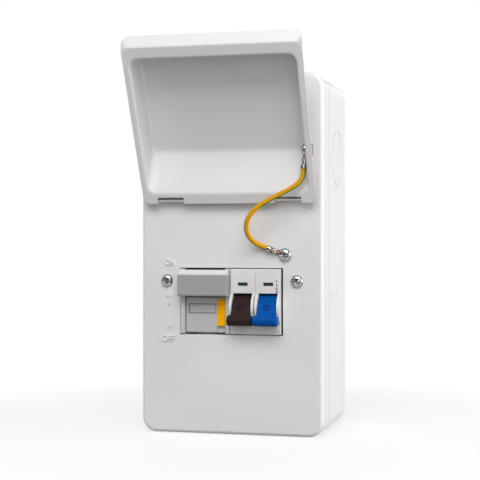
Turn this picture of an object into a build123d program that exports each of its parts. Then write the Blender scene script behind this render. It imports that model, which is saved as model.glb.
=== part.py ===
"""Switch fuse unit: a steel box with a flip lid over a fuse carrier and a two pole switch.

Frame: X to the right, Y into the wall, Z up. The origin is the centre of the back face.
A distance "d" in the comments is measured out from the wall, so it lies along -Y.
"""
import os
from math import cos, hypot, radians, sin, tan

from build123d import *

# Enclosure
width = 128.0
height = 246.0
depth = 88.0
sheet = 1.2
corner_radius = 10.0
edge_radius = 2.5
cover_depth = 22.0
lip_length = 6.0
lip_clearance = 0.3

# Window in the cover and the row of devices behind it
window_width = 72.8
window_height = 45.8
window_z = -32.0

# Wall fixings and knockouts
fixing_pitch_x = 90.0
fixing_pitch_z = 190.0
fixing_bore = 5.5
knockout_side = 40.0
knockout_end = 32.0
knockout_groove = 1.0
knockout_sink = 0.4
side_knockout_z = 68.0
side_knockout_d = 35.0
end_knockout_x = 30.0

# Screws
m4_radius = 2.0
thread_clearance = 0.02
pass_clearance = 0.3
head_radius = 4.4
head_height = 2.7
recess_width = 1.1
recess_length = 4.6
recess_sink = 1.3
cover_screw_gap = 9.5
cover_screw_z = -18.0
cover_screw_length = 9.0

# Rail bracket and rail
bracket_sheet = 1.5
bracket_height = 36.0
bracket_lift = 4.0
ear_margin = 5.45
tab_height = 3.6
tab_depth = 2.0
tab_d = (36.0, 57.0)
tab_clearance = 0.1
rail_front_d = 38.0
rail_sheet = 1.0
rail_height = 7.5
rail_width = 35.0
rail_base = 26.0
rail_end_gap = 8.25
rail_screw_inset = 8.0
rail_gap = 0.3

# Lid and its hinges
lid_inset = 3.5
lid_length = 112.0
lid_overhang = 2.0
lid_gap = 0.8
lid_rim = 3.2
lid_top_rim = 7.0
lid_far_rim = 6.0
lid_rise = 19.6
lid_slope_angle = 45.0
lid_draft = 6.0
lid_corner = 9.0
lid_bend = 11.0
lid_edge_bend = 5.0
lid_hem_angle = 45.0
lid_hem_length = 8.0
lid_open_angle = 154.0
hinge_z = 38.0
hinge_stand_off = 4.0
hinge_inset = 19.5
barrel_length = 18.0
barrel_radius = 2.2
knuckle_gap = 0.2
pin_radius = 1.1
pin_clearance = 0.05
leaf_sheet = 0.8
leaf_length = 12.0
notch_clearance = 0.4

# Bonding lead and its terminals
lead_radius = 1.6
earth_inset = 26.2
earth_z = 0.0
lid_earth_run = 32.0
lid_earth_rise = 11.0
ring_radius = 4.0
ring_sheet = 0.8
barrel_bore_gap = 0.05
crimp_radius = 2.3
crimp_start = 5.6
crimp_length = 6.9
cover_terminal_angle = 160.0
lid_terminal_angle = 30.0
lead_seat = 10.0
lead_exit = 16.2
nut_radius = 4.0
nut_height = 3.2

# Switch
switch_left = -0.2
switch_width = 35.2
nose_height = 44.6
nose_proud = 1.5
switch_body_height = 80.0
shoulder_d = 71.0
pole_pitch = 17.8
toggle_z = -37.0
toggle_sink = 6.0
toggle_drum = 10.5
toggle_reach = 17.7
toggle_off_angle = -25.0
toggle_plate_width = 12.7
toggle_plate_tip = 2.2
toggle_grip_gap = 0.5
toggle_grip_radius = 3.6
toggle_clearance = 0.4
guard_width = 1.8
guard_gap = 1.5
shaft_radius = 1.5
shaft_end_gap = 0.8
case_edge = 0.6
seam_width = 0.4
seam_sink = 0.5
band_edge_z = -26.3
well_bottom_z = -48.5
flag_window_width = 7.0
flag_window_height = 2.4
flag_window_z = -20.1
flag_height = 6.0
flag_sheet = 1.0
flag_travel = 3.0
flag_skin = 1.6

# Fuse holder
holder_left = -35.9
holder_width = 35.2
holder_top = 14.0
holder_bottom = -98.0
holder_step_top = -6.0
holder_step_bottom = -82.0
holder_wall = 3.2
holder_front_sink = 3.0
holder_front_wall = 1.6
cheek_proud = 1.2
cavity_top = -8.6
cavity_sill = -59.0
cavity_back_d = 60.2
sweep_back_d = 70.0
pivot_sink = 8.0
pivot_z = -50.0
swing_clearance = 0.6
stub_radius = 1.5

# Fuse carrier
carrier_wall = 1.6
carrier_clearance = 0.2
carrier_top = -12.0
carrier_bottom = -54.0
panel_sink = 1.0
panel_sheet = 2.0
carrier_cheek = ((85.0, -14.0), (70.0, -18.0), (66.0, -23.0), (66.0, -34.0), (74.0, -53.0), (85.0, -53.0))
saddle_z = (-32.0, -46.0)
saddle_sheet = 2.5
saddle_back_d = 69.0
saddle_clearance = 0.05
handle_width = 34.6
handle_profile = ((89.6, -10.4), (93.2, -10.4), (97.0, -13.4), (97.0, -28.3), (89.6, -28.3))
handle_edge = 1.3
neck_bottom = -26.0
label_x = -20.7
label_z = -37.1
label_width = 19.0
label_height = 6.2
label_sink = 0.6
lock_x = -7.2
lock_top = -30.6
lock_width = 5.4
lock_height = 18.4
lock_travel = 4.0
lock_sink = 1.2
lock_proud = 0.5
lock_clearance = 0.1
lock_rib_pitch = 2.4

# Fuse and its contact jaws
fuse_radius = 11.1
fuse_length = 58.0
fuse_cap_length = 14.0
fuse_cap_sheet = 0.5
fuse_sink = 5.0
fuse_bottom_z = -72.0
jaw_sheet = 0.8
jaw_height = 10.0
jaw_clearance = 0.3
jaw_tip_d = 72.5
upper_web_d = 59.0
lower_web_d = 47.2

# Rail clips, terminals and links
clip_width = 12.0
clip_sheet = 2.2
clip_clearance = 0.2
clip_tongue = 3.0
hook_sheet = 1.2
hook_grip = 2.0
hook_height = 4.2
terminal_radius = 3.2
terminal_shank = 4.5
terminal_inset = 7.0
terminal_head_radius = 2.9
terminal_head_height = 3.0
terminal_slot = 1.0
wire_entry_radius = 5.0
wire_entry_depth = 13.0
wire_entry_d = 55.0
link_sheet = 3.0
link_width = 5.0
link_drop = 8.0
link_bend = 3.5
earth_block_x = -25.0
earth_block_z = 92.0
earth_block_length = 36.0
earth_block_section = 12.0
earth_block_pitch = 11.0
earth_entry_radius = 2.6

# Places worked out from the sizes above
box_depth = depth - cover_depth
cover_back_d = depth - sheet
hinge_d = depth + hinge_stand_off
bracket_z = window_z + (bracket_height - rail_width) / 2 + bracket_lift
web_d = rail_front_d - rail_height
leg_x = width / 2 - 2 * sheet - 2 * lip_clearance - bracket_sheet / 2
cover_screw_x = window_width / 2 + cover_screw_gap
ear_length = leg_x - cover_screw_x + ear_margin
rail_length = 2 * (leg_x - rail_end_gap)
rail_screw_x = rail_length / 2 - rail_screw_inset
lid_width = width - 2 * lid_inset
hinge_x = lid_width / 2 - hinge_inset
earth_x = width / 2 - earth_inset
case_back_d = rail_front_d + rail_gap
switch_x = switch_left + switch_width / 2
holder_x = holder_left + holder_width / 2
pole_x = (switch_x - pole_pitch / 2, switch_x + pole_pitch / 2)
toggle_d = depth - toggle_sink
toggle_grip_width = pole_pitch - toggle_grip_gap
guard_radius = toggle_reach - toggle_grip_radius - guard_gap
pivot_d = depth - pivot_sink
fuse_d = depth - fuse_sink - fuse_radius
fuse_top_z = fuse_bottom_z + fuse_length
crimp_height = crimp_radius + ring_sheet / 4
link_front_d = wire_entry_d + link_width / 2
terminal_seat_d = link_front_d + terminal_shank

os.makedirs("parts", exist_ok=True)


def wall_plane(distance):
    """Plane parallel to the wall, a distance out from it, with X and Z in its plane."""
    return Plane.XZ.offset(distance)


def side_plane(x):
    """Plane across the unit at x, whose own axes are Y and Z."""
    return Plane.YZ.offset(x)


def save(builder, name):
    """Label a finished piece and write it out."""
    builder.part.label = name
    export_step(builder.part, f"parts/{name}.step")


def cut_knockouts(plane, diameter, places):
    """Sink a round knockout's groove into a wall at each place."""
    with BuildSketch(plane) as grooves:
        with Locations(*places):
            Circle(diameter / 2)
            Circle(diameter / 2 - knockout_groove, mode=Mode.SUBTRACT)
    extrude(grooves.sketch, amount=-knockout_sink, mode=Mode.SUBTRACT)


def cut_cross(plane, places):
    """Sink a cross recess into screw heads."""
    with BuildSketch(plane) as crosses:
        with Locations(*places):
            Rectangle(recess_length, recess_width)
            Rectangle(recess_width, recess_length)
    extrude(crosses.sketch, amount=-recess_sink, mode=Mode.SUBTRACT)


def pan_screws(face, places, length):
    """Cross recessed pan head screws that sit on a face, with their shanks going into it."""
    with BuildPart() as screws:
        with BuildSketch(face):
            with Locations(*places):
                Circle(head_radius)
        extrude(amount=head_height)
        fillet(screws.edges().group_by(Axis(face.origin, face.z_dir))[-1], head_height * 0.6)
        with BuildSketch(face):
            with Locations(*places):
                Circle(m4_radius)
        extrude(amount=-length)
        cut_cross(face.offset(head_height), places)
    return screws


def hex_nut(face):
    """Plain hexagon nut that stands on a face, over its origin."""
    with BuildPart() as nut:
        with BuildSketch(face):
            RegularPolygon(nut_radius, 6)
            Circle(m4_radius + thread_clearance, mode=Mode.SUBTRACT)
        extrude(amount=nut_height)
    return nut


def ring_terminal(face):
    """Crimped ring terminal on a face: ring over the origin, barrel along the face's x axis."""
    bore = lead_radius + barrel_bore_gap
    with BuildPart() as terminal:
        with BuildSketch(face):
            Circle(ring_radius)
            Rectangle(crimp_start + ring_sheet, 2 * lead_radius, align=(Align.MIN, Align.CENTER))
            Circle(m4_radius + pass_clearance, mode=Mode.SUBTRACT)
        extrude(amount=ring_sheet)
        barrel_plane = Plane(
            origin=face.from_local_coords((crimp_start, 0, crimp_height)),
            x_dir=face.y_dir, z_dir=face.x_dir)
        with BuildSketch(barrel_plane):
            Circle(crimp_radius)
            Circle(bore, mode=Mode.SUBTRACT)
        extrude(amount=crimp_length)
    return terminal


# Back box: drawn steel tray with a joggled front lip
with BuildPart() as back_box:
    with BuildSketch(wall_plane(0)):
        RectangleRounded(width, height, corner_radius)
    extrude(amount=box_depth)
    fillet(back_box.faces().sort_by(Axis.Y)[-1].edges(), edge_radius)
    offset(amount=-sheet, openings=back_box.faces().sort_by(Axis.Y)[0])
    inner_width = width - 2 * sheet
    inner_height = height - 2 * sheet
    inner_corner = corner_radius - sheet
    lip_inset = sheet + lip_clearance
    with BuildSketch(wall_plane(box_depth - lip_length)):
        RectangleRounded(inner_width, inner_height, inner_corner)
        RectangleRounded(
            inner_width - 2 * lip_inset, inner_height - 2 * lip_inset, inner_corner - lip_inset,
            mode=Mode.SUBTRACT)
    extrude(amount=lip_length)
    with BuildSketch(wall_plane(box_depth)):
        RectangleRounded(
            inner_width - 2 * lip_clearance, inner_height - 2 * lip_clearance, inner_corner - lip_clearance)
        RectangleRounded(
            inner_width - 2 * lip_inset, inner_height - 2 * lip_inset, inner_corner - lip_inset,
            mode=Mode.SUBTRACT)
    extrude(amount=lip_length)
    with BuildSketch(wall_plane(0)):
        with GridLocations(fixing_pitch_x, fixing_pitch_z, 2, 2):
            Circle(fixing_bore / 2)
    extrude(amount=2 * sheet, mode=Mode.SUBTRACT)
    for side in (-1, 1):
        wall = Plane(origin=(side * width / 2, 0, 0), x_dir=(0, side, 0), z_dir=(side, 0, 0))
        cut_knockouts(wall, knockout_side, [(-side * side_knockout_d, side_knockout_z)])
        end = Plane(origin=(0, 0, side * height / 2), x_dir=(1, 0, 0), z_dir=(0, 0, side))
        end_places = [(x, -side * box_depth / 2) for x in (-end_knockout_x, end_knockout_x)]
        cut_knockouts(end, knockout_end, end_places)
        with BuildSketch(wall):
            with Locations(*[(-side * d, bracket_z) for d in tab_d]):
                Rectangle(tab_depth + 2 * tab_clearance, tab_height + 2 * tab_clearance)
        extrude(amount=-2 * sheet, mode=Mode.SUBTRACT)
save(back_box, "back_box")

# Front cover: shallow drawn tray with the device window
with BuildPart() as front_cover:
    with BuildSketch(wall_plane(box_depth)):
        RectangleRounded(width, height, corner_radius)
    extrude(amount=cover_depth)
    fillet(front_cover.faces().sort_by(Axis.Y)[0].edges(), edge_radius)
    offset(amount=-sheet, openings=front_cover.faces().sort_by(Axis.Y)[-1])
    with BuildSketch(wall_plane(depth)):
        with Locations((0, window_z)):
            Rectangle(window_width, window_height)
        with Locations((-cover_screw_x, cover_screw_z), (cover_screw_x, cover_screw_z), (earth_x, earth_z)):
            Circle(m4_radius + pass_clearance)
        with Locations((-hinge_x, hinge_z), (hinge_x, hinge_z)):
            Rectangle(barrel_length / 3 + 2 * notch_clearance, leaf_sheet + 2 * notch_clearance)
    extrude(amount=-2 * sheet, mode=Mode.SUBTRACT)
save(front_cover, "front_cover")

cover_screws = pan_screws(
    wall_plane(depth), [(-cover_screw_x, cover_screw_z), (cover_screw_x, cover_screw_z)], cover_screw_length)
save(cover_screws, "cover_screws")

# Rail bracket: folded strap with side tabs and two tapped ears behind the cover
with BuildPart() as rail_bracket:
    ear_d = cover_back_d - bracket_sheet / 2
    strap_d = web_d - bracket_sheet / 2
    with BuildSketch(Plane.XY.offset(bracket_z - bracket_height / 2)):
        with BuildLine():
            FilletPolyline(
                (-leg_x + ear_length, -ear_d), (-leg_x, -ear_d), (-leg_x, -strap_d),
                (leg_x, -strap_d), (leg_x, -ear_d), (leg_x - ear_length, -ear_d),
                radius=bracket_sheet * 1.5)
        trace(line_width=bracket_sheet)
    extrude(amount=bracket_height)
    with BuildSketch(wall_plane(depth)):
        with Locations((-cover_screw_x, cover_screw_z), (cover_screw_x, cover_screw_z)):
            Circle(m4_radius + thread_clearance)
    extrude(amount=-4 * sheet, mode=Mode.SUBTRACT)
    with BuildSketch(wall_plane(0)):
        with Locations((-rail_screw_x, window_z), (rail_screw_x, window_z)):
            Circle(m4_radius + thread_clearance)
    extrude(amount=web_d, mode=Mode.SUBTRACT)
    tab_length = width / 2 - leg_x - tab_clearance
    for side in (-1, 1):
        with BuildSketch(side_plane(side * leg_x)):
            with Locations(*[(-d, bracket_z) for d in tab_d]):
                Rectangle(tab_depth, tab_height)
        extrude(amount=side * tab_length)
save(rail_bracket, "rail_bracket")

# Top hat rail
with BuildPart() as din_rail:
    flange_d = rail_front_d - rail_sheet / 2
    base_d = web_d + rail_sheet / 2
    half_rail = rail_width / 2
    half_base = rail_base / 2
    with BuildSketch(side_plane(-rail_length / 2)):
        with BuildLine():
            FilletPolyline(
                (-flange_d, window_z + half_rail), (-flange_d, window_z + half_base),
                (-base_d, window_z + half_base), (-base_d, window_z - half_base),
                (-flange_d, window_z - half_base), (-flange_d, window_z - half_rail),
                radius=rail_sheet)
        trace(line_width=rail_sheet)
    extrude(amount=rail_length)
    with BuildSketch(wall_plane(0)):
        with Locations((-rail_screw_x, window_z), (rail_screw_x, window_z)):
            Circle(m4_radius + pass_clearance)
    extrude(amount=rail_front_d, mode=Mode.SUBTRACT)
save(din_rail, "din_rail")

rail_screws = pan_screws(
    wall_plane(web_d + rail_sheet), [(-rail_screw_x, window_z), (rail_screw_x, window_z)],
    rail_sheet + bracket_sheet)
save(rail_screws, "rail_screws")

# Hinges: a leaf through the cover, a leaf on the lid's rim and a pin
knuckle_length = (barrel_length - 2 * knuckle_gap) / 3
lid_pose = Location((0, -hinge_d, hinge_z), (-lid_open_angle, 0, 0))


for side, hand in ((-1, "left"), (1, "right")):
    centre_x = side * hinge_x
    with BuildPart() as cover_leaf:
        with BuildSketch(side_plane(centre_x - knuckle_length / 2)):
            with Locations((-hinge_d, hinge_z)):
                Circle(barrel_radius)
        extrude(amount=knuckle_length)
        neck_reach = hinge_d - cover_back_d + leaf_sheet
        with BuildSketch(wall_plane(hinge_d)):
            with Locations((centre_x, hinge_z)):
                Rectangle(knuckle_length, leaf_sheet)
        extrude(amount=-neck_reach)
        with BuildSketch(wall_plane(cover_back_d)):
            with Locations((centre_x, hinge_z - leaf_sheet / 2)):
                Rectangle(barrel_length, leaf_length, align=(Align.CENTER, Align.MIN))
        extrude(amount=-leaf_sheet)
        with BuildSketch(side_plane(centre_x - barrel_length / 2)):
            with Locations((-hinge_d, hinge_z)):
                Circle(pin_radius + pin_clearance)
        extrude(amount=barrel_length, mode=Mode.SUBTRACT)
    save(cover_leaf, f"cover_hinge_leaf_{hand}")

    with BuildPart() as hinge_pin:
        with BuildSketch(side_plane(centre_x - barrel_length / 2)):
            with Locations((-hinge_d, hinge_z)):
                Circle(pin_radius)
        extrude(amount=barrel_length)
        chamfer(hinge_pin.edges().filter_by(GeomType.CIRCLE), pin_radius * 0.3)
    save(hinge_pin, f"hinge_pin_{hand}")

# Lid, drawn shut about the hinge axis: +X across, -Z down the lid, -Y out from the cover
rim_back = lid_gap - hinge_stand_off
rim_front = rim_back + sheet
lid_top = lid_rise - hinge_stand_off
lid_low = lid_overhang - lid_length
tray_top = lid_overhang - lid_top_rim
tray_low = lid_low + lid_far_rim
tray_half = lid_width / 2 - lid_rim
earth_rise = lid_earth_rise - hinge_stand_off
earth_wall = tray_half - (earth_rise - rim_back) * tan(radians(lid_draft))


def lid_tray(inset):
    """Solid of the lid's drawn tray, each wall moved in by an inset."""
    slope = radians(lid_slope_angle)
    run = (lid_top - rim_back) / tan(slope)
    start = tray_top + sheet / tan(slope) - inset / sin(slope)
    with BuildPart() as tray:
        with BuildSketch(wall_plane(rim_back)):
            with Locations((0, (tray_top + tray_low) / 2)):
                RectangleRounded(
                    2 * (tray_half - inset), tray_top - tray_low - 2 * inset, lid_corner - inset)
        extrude(amount=lid_top - rim_back - inset, taper=lid_draft)
        with BuildSketch(side_plane(-lid_width / 2)):
            with BuildLine():
                Polyline(
                    (-rim_back, start), (-lid_top, start - run), (-lid_top - sheet, start - run),
                    (-lid_top - sheet, lid_length), (-rim_back, lid_length), close=True)
            make_face()
        extrude(amount=lid_width, mode=Mode.SUBTRACT)
        fillet(tray.faces().sort_by(Axis.Y)[0].edges().sort_by(Axis.Z)[-1], lid_bend - inset)
        walls = tray.edges().filter_by(lambda edge: edge.center().Y < -rim_front - sheet)
        fillet(walls, lid_edge_bend - inset)
    return tray


with BuildPart() as lid_pressing:
    hem_y = lid_hem_length * sin(radians(lid_hem_angle))
    hem_z = lid_hem_length * cos(radians(lid_hem_angle))
    middle = -(rim_back + rim_front) / 2
    with BuildSketch(side_plane(-lid_width / 2)):
        with BuildLine():
            FilletPolyline(
                (middle, lid_overhang), (middle, lid_low), (middle - hem_y, lid_low - hem_z),
                radius=2 * sheet)
        trace(line_width=sheet)
    extrude(amount=lid_width)
    with BuildSketch(wall_plane(rim_back)):
        with Locations((0, (lid_overhang + lid_low - hem_z - sheet) / 2)):
            RectangleRounded(lid_width, lid_length + hem_z + sheet, lid_corner)
    extrude(amount=hem_y + 3 * sheet, mode=Mode.INTERSECT)
    with BuildSketch(wall_plane(rim_back)):
        with Locations((-hinge_x, lid_overhang), (hinge_x, lid_overhang)):
            Rectangle(
                barrel_length + 2 * notch_clearance, 2 * (lid_overhang + barrel_radius + notch_clearance))
    extrude(amount=2 * sheet, mode=Mode.SUBTRACT)
    add(lid_tray(0).part)
    add(lid_tray(sheet).part, mode=Mode.SUBTRACT)
    with BuildSketch(side_plane(0)):
        with Locations((-earth_rise, -lid_earth_run)):
            Circle(m4_radius + pass_clearance)
    extrude(amount=lid_width / 2, mode=Mode.SUBTRACT)

with BuildPart() as lid:
    with Locations(lid_pose):
        add(lid_pressing.part)
save(lid, "lid")

for side, hand in ((-1, "left"), (1, "right")):
    left_x = side * hinge_x - barrel_length / 2
    weld_strip = lid_top_rim - lid_overhang - barrel_radius - notch_clearance
    with BuildPart() as shut_leaf:
        for start_x in (left_x, left_x + barrel_length - knuckle_length):
            with BuildSketch(side_plane(start_x)):
                Circle(barrel_radius)
                with Locations((-rim_front, 0)):
                    Rectangle(leaf_sheet, lid_top_rim - lid_overhang, align=(Align.MAX, Align.MAX))
            extrude(amount=knuckle_length)
        with BuildSketch(side_plane(left_x)):
            with Locations((-rim_front, tray_top)):
                Rectangle(leaf_sheet, weld_strip, align=(Align.MAX, Align.MIN))
        extrude(amount=barrel_length)
        with BuildSketch(side_plane(left_x)):
            Circle(pin_radius + pin_clearance)
        extrude(amount=barrel_length, mode=Mode.SUBTRACT)
    with BuildPart() as lid_leaf:
        with Locations(lid_pose):
            add(shut_leaf.part)
    save(lid_leaf, f"lid_hinge_leaf_{hand}")

# Bonding lead between the cover and the lid
draft = radians(lid_draft)
turn = radians(lid_terminal_angle)
lid_wall = Plane(
    origin=(earth_wall - sheet, -earth_rise, -lid_earth_run),
    x_dir=(sin(turn) * sin(draft), sin(turn) * cos(draft), cos(turn)),
    z_dir=(-cos(draft), sin(draft), 0))
lid_outside = Plane(
    origin=lid_wall.from_local_coords((0, 0, -sheet * cos(draft))), x_dir=lid_wall.x_dir,
    z_dir=(cos(draft), -sin(draft), 0))
lid_screw_length = ring_sheet + sheet + nut_height
shut_pieces = {
    "lid_ring_terminal": ring_terminal(lid_wall),
    "lid_earth_screw": pan_screws(lid_wall.offset(ring_sheet), [(0, 0)], lid_screw_length),
    "lid_earth_nut": hex_nut(lid_outside),
}
for name, shut_piece in shut_pieces.items():
    with BuildPart() as posed:
        with Locations(lid_pose):
            add(shut_piece.part)
    save(posed, name)

cover_terminal = Plane(
    origin=(earth_x, -depth, earth_z),
    x_dir=(cos(radians(cover_terminal_angle)), 0, sin(radians(cover_terminal_angle))), z_dir=(0, -1, 0))
save(ring_terminal(cover_terminal), "cover_ring_terminal")
save(pan_screws(wall_plane(depth + ring_sheet), [(earth_x, earth_z)], ring_sheet + sheet + nut_height),
     "cover_earth_screw")
save(hex_nut(Plane(origin=(earth_x, -cover_back_d, earth_z), x_dir=(1, 0, 0), z_dir=(0, 1, 0))),
     "cover_earth_nut")

# Lead route: from inside the lid's crimp barrel down to inside the cover's
lead_start = [
    (lid_pose * Location(lid_wall.from_local_coords((run, 0, crimp_height)))).position
    for run in (lead_seat, lead_exit)]
lead_end = [cover_terminal.from_local_coords((run, 0, crimp_height)) for run in (lead_exit, lead_seat)]
lead_loop = [
    (50.6, -101.3, 48.2), (45.4, -101.8, 44.6), (37.8, -102.4, 40.6), (28.6, -103.2, 36.2),
    (20.2, -104.2, 30.6), (14.6, -103.6, 23.2), (13.6, -99.6, 14.6), (17.0, -93.6, 8.6),
]
lead_route = lead_start + [Vector(*point) for point in lead_loop] + lead_end
bend_radii = []
for before, corner, after in zip(lead_route, lead_route[1:], lead_route[2:]):
    run_in = corner - before
    run_out = after - corner
    half_turn = radians(run_in.get_angle(run_out)) / 2
    bend_radii.append(0.45 * min(run_in.length, run_out.length) / tan(half_turn))
with BuildPart() as earth_lead:
    with BuildLine() as lead_line:
        FilletPolyline(*lead_route, radius=bend_radii)
    with BuildSketch(Plane(origin=lead_line.line @ 0, z_dir=lead_line.line % 0)):
        Circle(lead_radius)
    sweep()
save(earth_lead, "earth_lead")
lead_length = lead_line.wires()[0].length
print("lead radii", [round(radius, 1) for radius in bend_radii])
print("lead length", round(lead_length, 1), "volume ratio",
      round(earth_lead.part.volume / (lead_length * 3.14159265 * lead_radius ** 2), 4))

# Common parts of the two rail mounted devices
hook_back_d = rail_front_d - rail_sheet - rail_gap - hook_sheet
hook_front_d = hook_back_d + hook_sheet
rail_edge = rail_width / 2 + rail_gap
hook_outer = rail_edge + hook_height
hook_inner = rail_edge - hook_grip


def device_profile(front_steps, top, bottom):
    """Side outline of a device with its fixed rail hook; front steps are (d, z) points going down."""
    back = [
        (case_back_d, bottom), (case_back_d, window_z + rail_edge), (hook_front_d, window_z + rail_edge),
        (hook_front_d, window_z + hook_inner), (hook_back_d, window_z + hook_inner),
        (hook_back_d, window_z + hook_outer), (case_back_d, window_z + hook_outer), (case_back_d, top),
    ]
    return [(-d, z) for d, z in back + front_steps]


def cut_clip_channel(centre_x, bottom):
    """Channel in a device's back for its sliding rail clip."""
    channel_top = window_z - hook_inner + clip_clearance
    with BuildSketch(wall_plane(case_back_d)) as channel:
        with Locations((centre_x, channel_top)):
            Rectangle(
                clip_width + 2 * clip_clearance, channel_top - bottom + clip_tongue,
                align=(Align.CENTER, Align.MAX))
    extrude(channel.sketch, amount=clip_sheet + clip_clearance, mode=Mode.SUBTRACT)


def rail_clip(centre_x, bottom):
    """Sliding clip that hooks behind the rail's lower edge."""
    front_d = case_back_d + clip_sheet
    outline = [
        (front_d, window_z - hook_inner), (front_d, bottom - clip_tongue),
        (case_back_d, bottom - clip_tongue),
        (case_back_d, window_z - hook_outer), (hook_back_d, window_z - hook_outer),
        (hook_back_d, window_z - hook_inner), (hook_front_d, window_z - hook_inner),
        (hook_front_d, window_z - rail_edge), (case_back_d, window_z - rail_edge),
        (case_back_d, window_z - hook_inner),
    ]
    with BuildPart() as clip:
        with BuildSketch(side_plane(centre_x - clip_width / 2)):
            with BuildLine():
                Polyline(*[(-d, z) for d, z in outline], close=True)
            make_face()
        extrude(amount=clip_width)
    return clip


def cut_terminals(places):
    """Screw wells in the shoulder and wire entries from the ends; places are (x, end z, way in)."""
    for x, end_z, way in places:
        screw_z = end_z + way * terminal_inset
        with BuildSketch(wall_plane(shoulder_d)) as well:
            with Locations((x, screw_z)):
                Circle(terminal_radius)
        extrude(well.sketch, amount=terminal_seat_d - shoulder_d, mode=Mode.SUBTRACT)
        with BuildSketch(wall_plane(shoulder_d)) as thread:
            with Locations((x, screw_z)):
                Circle(m4_radius + thread_clearance)
        extrude(thread.sketch, amount=wire_entry_d - shoulder_d, mode=Mode.SUBTRACT)
        with BuildSketch(Plane.XY.offset(end_z)) as entry:
            with Locations((x, -wire_entry_d)):
                Circle(wire_entry_radius)
        extrude(entry.sketch, amount=way * wire_entry_depth, mode=Mode.SUBTRACT)


def terminal_screws(places):
    """Slotted terminal screws seated in their wells, down to the link's face."""
    spots = [(x, end_z + way * terminal_inset) for x, end_z, way in places]
    with BuildPart() as screws:
        with BuildSketch(wall_plane(terminal_seat_d)):
            with Locations(*spots):
                Circle(terminal_head_radius)
        extrude(amount=terminal_head_height)
        with BuildSketch(wall_plane(terminal_seat_d)):
            with Locations(*spots):
                Circle(m4_radius)
        extrude(amount=-terminal_shank)
        with BuildSketch(wall_plane(terminal_seat_d + terminal_head_height)):
            with Locations(*spots):
                Rectangle(2 * terminal_head_radius, terminal_slot)
        extrude(amount=-terminal_head_height / 3, mode=Mode.SUBTRACT)
    return screws


# Two pole switch
nose_d = depth + nose_proud
nose_top = window_z + nose_height / 2
nose_bottom = window_z - nose_height / 2
switch_top = window_z + switch_body_height / 2
switch_bottom = window_z - switch_body_height / 2
well_width = toggle_plate_width + 2 * toggle_clearance
flag_z = flag_window_z - flag_travel / 2
flag_width = pole_pitch + flag_window_width + 4 * toggle_clearance
flag_front_d = nose_d - flag_skin - clip_clearance
switch_terminals = [(x, switch_top, -1) for x in pole_x] + [(x, switch_bottom, 1) for x in pole_x]

with BuildPart() as switch_case:
    front_steps = [
        (shoulder_d, switch_top), (shoulder_d, nose_top), (nose_d, nose_top), (nose_d, nose_bottom),
        (shoulder_d, nose_bottom), (shoulder_d, switch_bottom)]
    with BuildSketch(side_plane(switch_left)):
        with BuildLine():
            Polyline(*device_profile(front_steps, switch_top, switch_bottom), close=True)
        make_face()
    extrude(amount=switch_width)
    fillet(switch_case.faces().sort_by(Axis.Y)[0].edges(), case_edge)
    for x in pole_x:
        for guard_x in (x - well_width / 2 - guard_width, x + well_width / 2):
            with BuildSketch(side_plane(guard_x)):
                with Locations((-toggle_d, toggle_z)):
                    Circle(guard_radius)
            extrude(amount=guard_width)
        with BuildSketch(side_plane(x - well_width / 2)):
            with Locations((-toggle_d, toggle_z)):
                Circle(toggle_drum + toggle_clearance)
            with Locations((-toggle_d, band_edge_z)):
                Rectangle(
                    toggle_sink + 2 * nose_proud, band_edge_z - well_bottom_z, align=(Align.MAX, Align.MAX))
        extrude(amount=well_width, mode=Mode.SUBTRACT)
    with BuildSketch(wall_plane(nose_d)):
        with Locations(*[(x, flag_window_z) for x in pole_x]):
            Rectangle(flag_window_width, flag_window_height)
    extrude(amount=-flag_skin, mode=Mode.SUBTRACT)
    with BuildSketch(wall_plane(nose_d)):
        with Locations((switch_x, nose_top)):
            Rectangle(seam_width, nose_top - band_edge_z, align=(Align.CENTER, Align.MAX))
    extrude(amount=-seam_sink, mode=Mode.SUBTRACT)
    with BuildSketch(wall_plane(nose_d - flag_skin)):
        with Locations((switch_x, flag_z + flag_travel / 2)):
            Rectangle(
                flag_width + 2 * clip_clearance, flag_height + flag_travel + 2 * clip_clearance)
    extrude(amount=-flag_sheet - 2 * clip_clearance, mode=Mode.SUBTRACT)
    with BuildSketch(side_plane(switch_left)):
        with Locations((-toggle_d, toggle_z)):
            Circle(shaft_radius + thread_clearance)
    extrude(amount=switch_width, mode=Mode.SUBTRACT)
    cut_clip_channel(switch_x, switch_bottom)
    cut_terminals(switch_terminals)
save(switch_case, "switch_case")
save(rail_clip(switch_x, switch_bottom), "switch_rail_clip")
save(terminal_screws(switch_terminals), "switch_terminal_screws")

with BuildPart() as toggle_shaft:
    with BuildSketch(side_plane(switch_left + shaft_end_gap)):
        with Locations((-toggle_d, toggle_z)):
            Circle(shaft_radius)
    extrude(amount=switch_width - 2 * shaft_end_gap)
save(toggle_shaft, "toggle_shaft")

with BuildPart() as status_flag:
    with BuildSketch(wall_plane(flag_front_d)):
        with Locations((switch_x, flag_z)):
            Rectangle(flag_width, flag_height)
    extrude(amount=-flag_sheet)
save(status_flag, "status_flag")

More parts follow.
